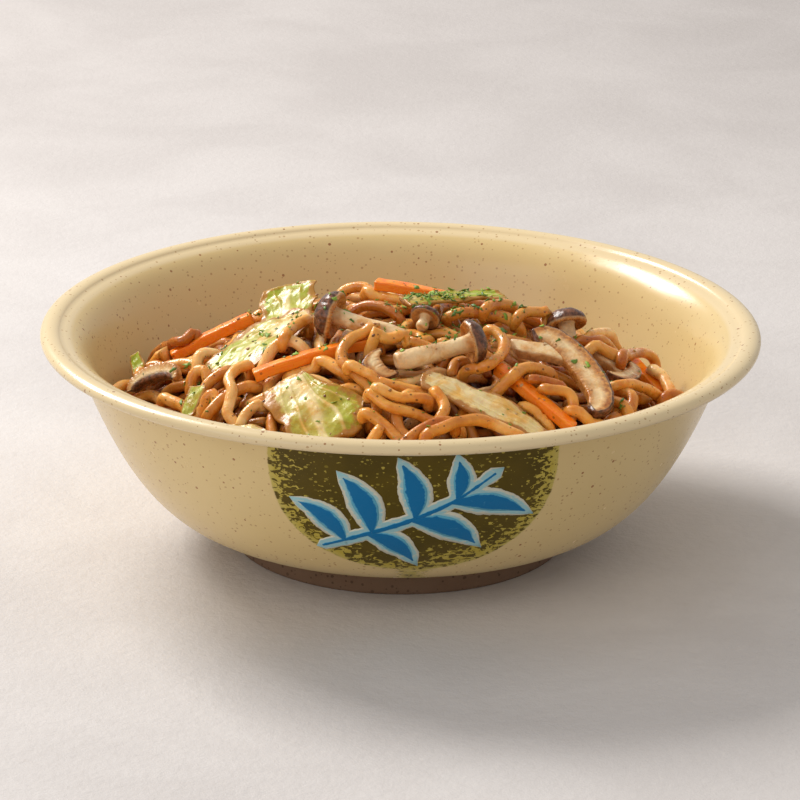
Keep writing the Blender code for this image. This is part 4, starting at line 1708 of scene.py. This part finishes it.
class HeapField:
    """A height map of what lies in the bowl. Each new strand comes to rest on it and adds to it."""

    def __init__(self, radius: float, depth: float, cell: float = 0.6) -> None:
        """Starts with the bare dome and the inside of the wall.

        Args:
            radius: Radius of a strand.
            depth: How far the bare dome lies under the tops of the strands.
            cell: Width of a cell of the map.
        """
        self.radius = radius
        self.cell = cell
        self.half = int(112 / cell)
        axis = (np.arange(2 * self.half + 1) - self.half) * cell
        self.x, self.y = np.meshgrid(axis, axis, indexing="ij")
        self.distance = np.hypot(self.x, self.y)
        self.top = HEAP.top(self.x, self.y)
        self.ground = np.maximum(self.top - depth, WALL.inner_height(self.distance, 0.25))
        self.roof = np.full(self.x.shape, np.inf)
        self.lids = np.full(self.x.shape, -np.inf)
        reach = int(radius / cell) + 1
        steps = np.arange(-reach, reach + 1)
        di, dj = np.meshgrid(steps, steps, indexing="ij")
        apart = np.hypot(di, dj) * cell
        near = apart < radius * 0.98
        self.di, self.dj = di[near], dj[near]
        self.cap = np.sqrt(radius**2 - apart[near] ** 2)

    def cover(self, piece: Piece) -> None:
        """Notes the underside and the top of a topping, so strands go under it or round it.

        Args:
            piece: The topping.
        """
        tree = tree_of(piece)
        corners = np.array([corner[:] for corner in piece.bound_box]) / MM
        low = np.floor(corners.min(axis=0)[:2] / self.cell).astype(int) + self.half
        high = np.ceil(corners.max(axis=0)[:2] / self.cell).astype(int) + self.half
        for i in range(low[0], high[0] + 1):
            for j in range(low[1], high[1] + 1):
                x, y = self.x[i, j] * MM, self.y[i, j] * MM
                above = tree.ray_cast(Vector((x, y, HIGH)), DOWN)[0]
                if above is None:
                    continue
                below = tree.ray_cast(Vector((x, y, 0.0)), -DOWN)[0]
                self.roof[i, j] = min(self.roof[i, j], below.z / MM)
                self.lids[i, j] = max(self.lids[i, j], above.z / MM)

    def cells(self, points: Array) -> Arrays:
        """The cells under a ball at each point of the plan.

        Args:
            points: Points of the plan.

        Returns:
            Two indices for each cell, point by point.
        """
        middle = np.rint(points[:, :2] / self.cell).astype(int) + self.half
        middle = np.clip(middle, 8, 2 * self.half - 8)
        return middle[:, :1] + self.di, middle[:, 1:] + self.dj

    def rest(self, points: Array) -> tuple[Array, Array, Array]:
        """Where a strand's middle comes to rest.

        Args:
            points: Points of the plan.

        Returns:
            At each point, the height of the middle on the strands below, the height that keeps it
            under the toppings, and the height that brings it over them.
        """
        i, j = self.cells(points)
        low = (self.ground[i, j] + self.cap).max(axis=1)
        under = (self.roof[i, j] - self.cap).min(axis=1)
        over = (self.lids[i, j] + self.cap).max(axis=1)
        return low, under, over

    def excess(self, points: Array, heights: Array, lowered: float) -> Array:
        """How far a strand's top stands over the level that is being filled."""
        return heights + self.radius - HEAP.top(points[:, 0], points[:, 1]) + lowered

    def stamp(self, path: Array) -> None:
        """Adds a strand to the map."""
        i, j = self.cells(path)
        np.maximum.at(self.ground, (i, j), path[:, 2:3] + self.cap)


@dataclass(frozen=True)
class FillPass:
    """One round of laying strands: how many, how long in steps, and how far under the top."""

    strands: int
    shortest: int
    longest: int
    lowered: float
    shortfall: float


@dataclass
class NoodleHeap:
    """The noodles: strands laid one by one, each resting on those below it.

    The curls are the strands that lie on top at the front. Each point of theirs is a place in the
    camera's picture, in pixels from its top left corner, and a lift over the heap's even top.
    """

    view: "Studio"
    radius: float = 2.0
    depth: float = 11.0
    step: float = 1.5
    fine_step: float = 1.1
    sides: int = 10
    fine_sides: int = 14
    reach: float = 94.0
    tuck: float = 2.6
    ride_lift: float = 4.4
    sink: Place = (0.0, 2.4, -2.8)
    curl_reach: float = 98.0
    seed: int = 11
    passes: tuple[FillPass, ...] = (
        FillPass(150, 20, 70, 4.0, 3.0),
        FillPass(110, 9, 40, 3.0, 2.6),
    )
    last_pass: FillPass = FillPass(90, 12, 60, 0.0, 3.0)
    curls: tuple[tuple[Place, ...], ...] = (
        ((149, 370, 0), (152, 361, 1.5), (159, 351, 3), (169, 345, 4), (181, 342, 4.5), (193, 341, 3.5),
         (204, 345, 1)),
        ((114, 392, 0), (121, 386, 1), (130, 384, 1.5), (139, 388, 0.5)),
        ((138, 385, 0), (142, 373, 1.5), (148, 366, 2.5), (157, 366, 2), (167, 371, 1)),
        ((156, 371, 1), (167, 367, 2), (180, 364, 2.2), (193, 364, 1.5), (203, 370, 0)),
        ((197, 371, 1), (198, 359, 3), (204, 352, 4), (213, 353, 3), (223, 350, 1)),
        ((190, 390, 0), (192, 378, 1.5), (197, 369, 2.5), (204, 372, 2.5), (209, 381, 1)),
        ((227, 374, 1.5), (215, 377, 3), (206, 386, 3.5), (203, 398, 1.5)),
        ((190, 419, 0), (199, 410, 2), (207, 400, 3), (212, 393, 3.2), (216, 400, 2.8), (213, 411, 1.5),
         (208, 421, 0)),
        ((208, 414, 0.5), (216, 405, 2), (225, 398, 2.6), (235, 390, 3), (246, 386, 2.6), (257, 382, 1)),
        ((247, 366, 1.5), (236, 369, 3.5), (229, 378, 4), (232, 390, 3.6), (229, 402, 3), (227, 413, 2.5),
         (235, 424, 1)),
        ((164, 396, -0.5), (172, 402, 0.8), (181, 405, 1), (189, 413, 0)),
        ((261, 371, 0.5), (267, 359, 2.5), (273, 349, 4), (282, 342, 5), (292, 341, 5), (301, 347, 3.5),
         (309, 355, 1)),
        ((283, 338, 1), (293, 328, 2), (306, 321, 1.5)),
        ((291, 370, 0.5), (302, 362, 2.5), (315, 360, 3), (328, 363, 3.5), (338, 368, 3), (348, 375, 1)),
        ((322, 385, 1), (329, 386, 2.5), (338, 386, 2.8), (350, 387, 2), (363, 392, 0.5)),
        ((239, 427, 0), (246, 415, 1.5), (255, 405, 2.5), (265, 400, 1)),
        ((377, 338, 2), (364, 336, 4), (351, 339, 5.5), (342.5, 349, 6), (342.5, 360, 5.5), (350, 369, 5),
         (360, 377, 4.5), (369, 387, 4), (375, 398, 3.5), (377, 409, 3), (372, 420, 1)),
        ((351, 363, 0.5), (362, 371, 2.5), (374, 378, 3), (388, 384, 3.5), (403, 387.5, 3.5), (419, 391, 3),
         (434, 394, 1)),
        ((410, 392, 1.5), (403, 398, 3.5), (398, 407, 4), (396.5, 419, 4), (400, 430, 3.5), (408, 439, 2.5),
         (418, 445, 1)),
        ((370, 391, 0), (380, 401, 1.5), (392, 408, 2), (405, 410, 2), (418, 415, 2), (432, 421, 2.2),
         (446, 425, 1.8), (459, 426, 0.5)),
        ((377, 386, 0), (388, 393, 1), (400, 398, 1.2), (413, 397, 1), (426, 398, 0)),
        ((436, 392, 0.5), (442, 400, 2.5), (444, 410, 2.5), (438, 421, 1)),
        ((365, 411, 0.5), (375, 419, 2), (385, 426, 2.5), (394, 434, 2), (403, 444, 0.5)),
        ((403, 443, 1), (414, 434, 2.5), (426, 427, 3), (440, 422.5, 3), (453, 423, 1)),
        ((424, 447, 1), (434, 435, 3), (447, 426, 4.5), (462, 421, 5), (478, 420, 5), (493, 424, 4.5),
         (508, 431, 3), (522, 438, 1)),
        ((371, 347, 3), (380, 340.5, 5), (395, 339, 4.8), (409, 341, 4.2), (422, 345, 3), (435, 351, 1)),
        ((339, 298, 1), (344, 291, 3), (352, 287, 4), (362, 286, 4), (370, 290, 3.5), (376, 298, 1)),
        ((352, 311, 1), (360, 307, 2.5), (369, 305.5, 3.5), (381, 307, 3.5), (391, 311, 3), (400, 319, 1)),
        ((368, 288, 2.5), (381, 289, 4), (394, 293, 4), (408, 300, 1.5)),
        ((449, 316, 1.5), (463, 313, 4), (478, 312, 4.5), (493, 315, 4.5), (507, 319, 4), (519, 328, 1.5)),
        ((485, 308, 1.5), (497, 305, 4), (509, 306, 5), (518, 312, 5), (527, 318.5, 4), (540, 324, 1.5)),
        ((517, 317, 1.5), (527, 311, 4), (537, 312, 4), (545, 321, 2)),
        ((488, 328, 3), (499, 335, 5.5), (504, 345, 6), (500.5, 356, 5.5), (490, 363, 4.5), (478, 366, 3.5),
         (465, 371, 1.5)),
        ((495, 394, 1), (504, 384, 3.5), (512.5, 375.5, 5), (523, 369, 6), (536, 368, 5), (550, 373, 2)),
        ((532, 379, 0.5), (546, 383, 1.5), (561, 385, 0)),
        ((544, 393, 0), (556, 390, 2), (566, 391, 3), (572.5, 398, 3.5), (573, 409, 3), (569, 422, 1)),
        ((523, 404, 0.5), (534, 411, 2), (543, 418, 1.5), (550, 428, 0)),
        ((574, 342, 1.5), (586, 336, 4.5), (598, 333.5, 6), (608, 334, 6), (614, 343, 5), (620, 353, 4),
         (629, 362, 2)),
        ((579, 346, 1), (592, 341, 3), (604, 343, 3.5), (612, 350, 3), (619, 361, 1.5)),
        ((585, 352, 0), (597, 353, 1.5), (607, 358, 1.5), (616, 365, 0)),
        ((621, 364, 1.5), (629, 355, 4), (640, 352.5, 5), (651, 355.5, 5), (656, 365, 4), (655, 376, 2.5),
         (650, 386, 0)),
        ((599, 383, 0.5), (610, 389, 3), (621, 393, 4), (629, 392.5, 4.5), (633.5, 401, 4.5), (630, 410, 4),
         (620, 416, 3), (608, 421, 1)),
        ((611, 386, 0.5), (624, 384, 2.5), (637, 385.5, 3), (649, 390.5, 3), (660, 398, 2.5),
         (669, 408, 0.5)),
        ((653, 375, 0.5), (663, 380, 2.5), (668.5, 387, 2.5), (671, 399, 0.5)),
        ((663, 401, 1), (671, 393.5, 2.5), (682, 397, 1)),
        ((605, 405, 0.5), (614, 401, 2.5), (622, 404.5, 2.5), (628, 412, 0.5)),
        ((570, 410, 0.5), (581, 416, 2), (592, 421, 1.5), (604, 425, 0)),
    )
    finish: NoodleFinish = field(default_factory=NoodleFinish)

    def plan(self, field_map: HeapField, draw: np.random.Generator, start: Array, fill: FillPass) -> Array:
        """Lets one strand wander from a start, towards low ground and away from toppings.

        Args:
            field_map: What lies in the bowl so far.
            draw: Where its random numbers come from.
            start: Its first point, as x and y.
            fill: The round that it belongs to.

        Returns:
            The points of its plan.
        """
        heading = draw.uniform(0, TURN)
        curls = draw.uniform(-0.11, 0.11, 2)
        rates = draw.uniform((0.05, 0.14), (0.12, 0.34))
        phases = draw.uniform(0, TURN, 2)
        wanted = int(draw.integers(max(fill.shortest, fill.longest // 2), fill.longest))
        choices = np.array((0.0, 0.10, -0.10, 0.20, -0.20, 0.32, -0.32))
        points = [start]
        turn = 0.0
        for index in range(wanted):
            wander = float(curls[0] + curls @ np.sin(rates * index + phases)) * 1.3
            headings = heading + 0.45 * turn + wander + choices
            ways = np.stack((np.cos(headings), np.sin(headings)), axis=-1)
            near = points[-1] + ways * self.step
            far = points[-1] + ways * self.step * 3.5
            low, under, _ = field_map.rest(near)
            far_low, far_under, _ = field_map.rest(far)
            blocked = (low > under + 0.4) | (np.hypot(*near.T) > self.reach)
            far_blocked = (far_low > far_under + 0.4) | (np.hypot(*far.T) > self.reach)
            excess = np.maximum(field_map.excess(near, low, fill.lowered), -4)
            far_excess = np.maximum(field_map.excess(far, far_low, fill.lowered), -4)
            cost = 0.8 * np.maximum(excess, 0) + 0.10 * excess + 0.35 * np.maximum(far_excess, 0)
            cost = cost + 2.4 * np.abs(choices) + 3.0 * far_blocked + 100.0 * blocked
            best = int(np.argmin(cost))
            if blocked[best] or excess[best] > 1.8:
                break
            turn = float(headings[best] - heading - wander)
            heading = float(headings[best])
            points.append(near[best])
        return np.array(points)

    def settle(self, field_map: HeapField, plan: Array, wanted: Array | None = None) -> Array:
        """Finds the heights of a strand: it bridges small gaps, as it is a little stiff.

        Args:
            field_map: What lies in the bowl so far.
            plan: The points of its plan.
            wanted: For a curl, the heights that it is lifted to.

        Returns:
            The points of the strand.
        """
        order = np.arange(len(plan))
        from_end = np.minimum(order, order[::-1])
        low, under, over = field_map.rest(plan)
        low, ceiling = low - 0.15, under - 0.1
        floor, rounds = low, 30
        if wanted is not None:
            low = np.where(from_end > 4, np.maximum(low - 1.6, wanted), wanted)
            passes_under = low - ceiling < over - low
            low = np.where(passes_under, np.minimum(low, ceiling), np.maximum(low, over))
            ceiling = np.where(passes_under, ceiling, np.inf)
            floor, rounds = low - 0.4, 6
        heights = low
        for _ in range(rounds):
            heights = np.maximum(floor, eased(heights))
        heights = np.minimum(heights, ceiling)
        heights = heights - self.tuck * np.clip(1 - from_end / 4.0, 0, 1) ** 1.5
        return np.column_stack((plan, heights))

    def lay(self, field_map: HeapField, draw: np.random.Generator, fill: FillPass) -> list[Array]:
        """Lays strands where the heap is lowest, until it is full or the round is over.

        Args:
            field_map: The bowl with its toppings and the strands laid so far.
            draw: Where its random numbers come from.
            fill: The round.

        Returns:
            The points of each strand.
        """
        laid: list[Array] = []
        for _ in range(fill.strands):
            shortfall = field_map.top - fill.lowered - field_map.ground
            room = (field_map.distance < self.reach - 2) & (shortfall > fill.shortfall)
            room &= field_map.roof - field_map.ground > 2.0 * self.radius
            places = np.argwhere(room)
            if len(places) < 30:
                break
            picks = places[draw.integers(0, len(places), 60)]
            deepest = picks[np.argsort(-shortfall[picks[:, 0], picks[:, 1]])[:10]]
            for i, j in deepest:
                start = np.array((field_map.x[i, j], field_map.y[i, j]))
                plan = self.plan(field_map, draw, start, fill)
                if len(plan) >= fill.shortest:
                    strand = self.settle(field_map, plan)
                    field_map.stamp(strand)
                    laid.append(strand)
                    break
        return laid

    def depth_of(self, field_map: HeapField, eye: Array, way: Array, lift: float) -> float:
        """How far along a ray from the camera a curl's middle lies.

        Args:
            field_map: The bowl with its toppings and the strands laid so far.
            eye: Where the ray starts.
            way: The ray's direction.
            lift: How far the curl's top stands over the heap's even top.

        Returns:
            The distance.
        """
        depths = np.arange(-130, 130, 0.25) + self.view.distance
        points = eye + way * depths[:, None]
        inside = np.hypot(points[:, 0], points[:, 1]) < self.curl_reach
        depths, points = depths[inside], points[inside]
        low, _, over = field_map.rest(points)
        level = np.maximum(HEAP.top(points[:, 0], points[:, 1]) + lift - self.radius, low - 1.2)
        if lift > self.ride_lift:
            level = np.maximum(level, over)
        gap = points[:, 2] - level
        landed = np.flatnonzero(gap <= 0)
        return float(depths[landed[0] if len(landed) else int(np.argmin(gap))])

    def lay_curls(self, field_map: HeapField) -> list[Array]:
        """Lays the curls that show on top.

        Args:
            field_map: The bowl with its toppings and the strands laid so far.

        Returns:
            The points of each strand.
        """
        laid = []
        for curl in self.curls:
            rays = [self.view.ray(across, down) for across, down, _ in curl]
            depths = np.array([self.depth_of(field_map, *ray, seen[2]) for ray, seen in zip(rays, curl)])
            for _ in range(10):
                depths = np.minimum(depths, eased(depths))
            placed = [eye + way * depth for (eye, way), depth in zip(rays, depths)]
            before = placed[0] + unit(placed[0] - placed[1]) * 1.2 + self.sink
            after = placed[-1] + unit(placed[-1] - placed[-2]) * 1.2 + self.sink
            path = smooth_path([before, *placed, after], self.fine_step)
            strand = self.settle(field_map, path[:, :2], path[:, 2])
            field_map.stamp(strand)
            laid.append(strand)
        return laid

    def build(self, toppings: Sequence[Piece]) -> list[Piece]:
        """Lays the noodles round the toppings and makes them two pieces, the bed and the curls.

        Args:
            toppings: The pieces that lie on them.

        Returns:
            The two pieces.
        """
        field_map = HeapField(self.radius, self.depth)
        for topping in toppings:
            field_map.cover(topping)
        draw = np.random.default_rng(self.seed)
        below = [strand for fill in self.passes for strand in self.lay(field_map, draw, fill)]
        above = self.lay_curls(field_map)
        below += self.lay(field_map, draw, self.last_pass)
        LOG.info("laid %d strands and %d curls", len(below), len(above))
        material = self.finish.build()
        bed, curls = MeshParts(), MeshParts()
        self.add_bed(bed)
        self.add_strands(bed, below, self.sides, 200)
        self.add_strands(curls, above, self.fine_sides, 700)
        return [
            bed.make("noodle_strands", material, "noodle", "noodles"),
            curls.make("noodle_curls", material, "noodle"),
        ]

    def add_strands(self, parts: MeshParts, strands: Sequence[Array], sides: int, seed: int) -> None:
        """Adds strands to a piece, each of uneven width and of its own tone.

        Args:
            parts: The piece.
            strands: The points of each strand.
            sides: Points in a ring.
            seed: Picks their unevenness.
        """
        draw = np.random.default_rng(seed)
        for index, strand in enumerate(strands):
            count = len(strand)
            key = seed + index
            uneven = 1 + 0.055 * smooth_noise(strand, 11.0, key)
            uneven += 0.02 * smooth_noise(strand, 4.0, 5000 + key)
            size = self.radius * draw.uniform(0.93, 1.03) * uneven
            size *= np.interp(np.arange(count), (0, 1, count - 2, count - 1), (0.78, 1, 1, 0.78))
            wiggle = [0.22 * smooth_noise(strand, 9.0, 3 * index + axis) for axis in range(3)]
            halves = np.stack((size, size * draw.uniform(0.90, 1.0)), axis=-1)
            rings = sweep(strand + np.stack(wiggle, axis=-1), halves, sides)
            tone = draw.uniform(0, 1) + 0.25 * smooth_noise(strand, 25.0, seed + 2 * index)
            parts.tube(rings, {"tone": tone[:, None]})

    def add_bed(self, parts: MeshParts) -> None:
        """Adds the closed bed under the strands, which shows only between them, in the brownest noodle colour
        and darkened with painted shade as the deep gaps.

        Args:
            parts: The piece that it joins.
        """
        radii = np.concatenate((np.linspace(0.05, 93.2, 26), [92.6]))
        angles = round_angles(96)
        x, y = radii[:, None] * np.cos(angles), radii[:, None] * np.sin(angles)
        top = HEAP.top(x, y) - self.depth - 0.3
        top = np.maximum(top, WALL.inner_height(np.hypot(x, y), 0.6))
        low = WALL.inner(np.linspace(0.70, 0.02, 12), 0.6)
        lower, _ = turned(low, 96)
        rings = np.concatenate((np.dstack((x, y, top))[:-1], lower))
        # Tone 1 takes the brownest noodle colour; the film's painted shade darkens it further, as shade in
        # the gaps.
        parts.tube(rings, {"tone": np.ones(rings.shape[:2])})


@dataclass
class Scatter:
    """Small pieces that lie on the food: herb flakes and browned crumbs."""

    seed: int = 5
    flakes: int = 900
    crumbs: int = 260

    def build(self, pieces: Sequence[Piece]) -> list[Piece]:
        """Makes the flakes and the crumbs that lie on these pieces."""
        trees = [tree_of(piece) for piece in pieces]
        return [self.build_flakes(trees), self.build_crumbs(trees)]

    @staticmethod
    def drop(trees: Sequence[BVHTree], x: float, y: float) -> Arrays | None:
        """Where something that falls at x and y lands, with the surface's normal.

        Args:
            trees: Search trees over the food.
            x: Place across.
            y: Place from front to back.

        Returns:
            The place and the normal, or None off the food.
        """
        best = None
        for tree in trees:
            hit, normal, _, _ = tree.ray_cast(Vector((x * MM, y * MM, HIGH)), DOWN)
            if hit is not None and (best is None or hit.z > best[0].z):
                best = (hit, normal)
        return None if best is None else (np.array(best[0]) / MM, np.array(best[1]))

    def build_flakes(self, trees: Sequence[BVHTree]) -> Piece:
        """Makes the herb flakes, thickest a little behind the middle of the heap.

        Args:
            trees: Search trees over the food.

        Returns:
            The flakes.
        """
        draw = np.random.default_rng(self.seed)
        parts = MeshParts()
        for index in range(self.flakes):
            if index < self.flakes * 0.45:
                x, y = draw.normal((15.0, -6.0), (13.0, 11.0))
            elif index < self.flakes * 0.66:
                x, y = draw.normal((-8.0, -18.0), (34.0, 15.0))
            else:
                angle, distance = draw.uniform(0, TURN), 88 * math.sqrt(draw.uniform(0, 1))
                x, y = distance * math.cos(angle), distance * math.sin(angle)
            landed = self.drop(trees, x, y)
            if landed is None or math.hypot(x, y) > 90:
                continue
            point, normal = landed
            size = 0.32 + 1.25 * draw.uniform(0, 1) ** 2.2
            turn = draw.uniform(0, TURN)
            lean = unit(normal + draw.normal(0, 0.35, 3))
            first = unit(np.cross(lean, (math.cos(turn), math.sin(turn), 0.1)))
            second = np.cross(lean, first)
            u, v = np.meshgrid(np.linspace(-1, 1, 4), np.linspace(-0.55, 0.55, 3), indexing="ij")
            jag = draw.uniform(0.35, 1.35, u.shape)
            curl = 0.35 * draw.uniform(-1, 1) * u**2 + 0.12 * draw.normal(size=u.shape)
            spread_out = (u * jag)[..., None] * first + (v * jag)[..., None] * second
            bent = spread_out + np.maximum(curl, -0.1)[..., None] * lean
            places = point + lean * 0.22 + bent * size
            tone = np.full(u.shape, draw.uniform(0, 1))
            parts.slab(places + lean * 0.07, places - lean * 0.07, {"tone": tone})
        return parts.make("herb_flakes", HerbFinish().build(), "cabbage")

    def build_crumbs(self, trees: Sequence[BVHTree]) -> Piece:
        """Makes the browned crumbs, spread over the whole heap.

        Args:
            trees: Search trees over the food.

        Returns:
            The crumbs.
        """
        draw = np.random.default_rng(self.seed + 1)
        parts = MeshParts()
        angles = round_angles(7)
        for _ in range(self.crumbs):
            angle, distance = draw.uniform(0, TURN), 86 * math.sqrt(draw.uniform(0, 1))
            landed = self.drop(trees, distance * math.cos(angle), distance * math.sin(angle))
            if landed is None:
                continue
            point, normal = landed
            size = draw.uniform(0.22, 0.6)
            first = unit(np.cross(normal, draw.normal(size=3)))
            second = np.cross(normal, first)
            rings = []
            for level, wide in ((-0.3, 0.7), (0.1, 1.0), (0.45, 0.8), (0.65, 0.3)):
                jag = draw.uniform(0.7, 1.2, 7) * wide * size
                across = (np.cos(angles) * jag)[:, None] * first * 1.3
                ring = across + (np.sin(angles) * jag)[:, None] * second
                rings.append(point + ring + normal * level * size)
            parts.tube(np.array(rings), {"tone": np.full((4, 7), draw.uniform(0, 1) ** 0.8)})
        return parts.make("browned_crumbs", CrumbFinish().build(), "noodle")


# Floor, light and camera


@dataclass
class Studio:
    """The floor, the soft lights, and the camera at the photograph's viewing angle."""

    elevation: float = 19.268
    distance: float = 1300.0
    target: float = 47.78
    focal: float = 2.974
    roll: float = 0.511
    picture: float = 800

    def camera(self) -> None:
        """Makes the camera."""
        data = bpy.data.cameras.new("view")
        data.sensor_width = 36.0
        data.lens = self.focal * self.distance / self.picture * data.sensor_width
        data.clip_end = 20
        camera = in_scene("view", data)
        angle = math.radians(self.elevation)
        back = Vector((0, -math.cos(angle), math.sin(angle)))
        place = Matrix.Translation(Vector((0, 0, self.target * MM)) + back * self.distance * MM)
        tilt = Matrix.Rotation(math.pi / 2 - angle, 4, "X")
        camera.matrix_world = place @ tilt @ Matrix.Rotation(math.radians(self.roll), 4, "Z")
        bpy.context.scene.camera = camera

    def ray(self, across: float, down: float) -> Arrays:
        """The camera's ray through a place of its picture.

        Args:
            across: Pixels from the picture's left edge.
            down: Pixels from its top edge.

        Returns:
            The ray's start and its direction.
        """
        angle, roll = math.radians(self.elevation), math.radians(self.roll)
        back = np.array((0, -math.cos(angle), math.sin(angle)))
        right, up = np.array((1.0, 0, 0)), np.array((0, math.sin(angle), math.cos(angle)))
        right, up = right * math.cos(roll) + up * math.sin(roll), up * math.cos(roll) - right * math.sin(roll)
        half = self.picture / 2
        way = unit(right * (across - half) + up * (half - down) - back * self.focal * self.distance)
        return np.array((0, 0, self.target)) + back * self.distance, way

    def light(self, name: str, place: Vector, size: float, power: float, colour: Colour) -> None:
        """Makes one soft light that faces the bowl.

        Args:
            name: The light's name.
            place: Where it hangs, in metres.
            size: The side of its square, in metres.
            power: Its power in watts.
            colour: Its colour.
        """
        data = bpy.data.lights.new(name, "AREA")
        data.size = size
        data.energy = power
        data.color = colour
        lamp = in_scene(name, data)
        turn = (Vector((0, 0, 0.05)) - place).to_track_quat("-Z", "Y").to_matrix().to_4x4()
        lamp.matrix_world = Matrix.Translation(place) @ turn

    def floor(self) -> None:
        """Makes the floor."""
        mesh = bpy.data.meshes.new("floor")
        mesh.from_pydata([(-6, -4, 0), (6, -4, 0), (6, 12, 0), (-6, 12, 0)], [], [(0, 1, 2, 3)])
        mesh.materials.append(FloorFinish().build())
        in_scene("floor", mesh)

    def world(self) -> None:
        """Makes the even light from all round."""
        world = bpy.data.worlds.new("soft_room")
        world.use_nodes = True
        sky = world.node_tree.nodes["Background"]
        sky.inputs["Color"].default_value = (1.0, 0.985, 0.965, 1.0)
        sky.inputs["Strength"].default_value = 0.60
        bpy.context.scene.world = world

    def build(self) -> None:
        """Sets up everything round the bowl."""
        self.camera()
        self.floor()
        self.world()
        self.light("key", Vector((-0.8, 0.8, 1.05)), 0.58, 24.0, (1.0, 0.975, 0.94))
        self.light("fill", Vector((-0.9, -0.9, 0.6)), 0.9, 3.6, (1.0, 0.97, 0.93))
        bpy.context.scene.view_settings.view_transform = "Standard"


def main() -> None:
    """Builds every piece in order."""
    logging.basicConfig(level=logging.INFO, format="%(name)s: %(message)s")
    studio = Studio()
    studio.build()
    Bowl().build()
    PanelSpray().build()
    toppings = Toppings().build()
    noodles = NoodleHeap(studio).build(toppings)
    Scatter().build([*toppings, *noodles])


if __name__ == "__main__":
    main()
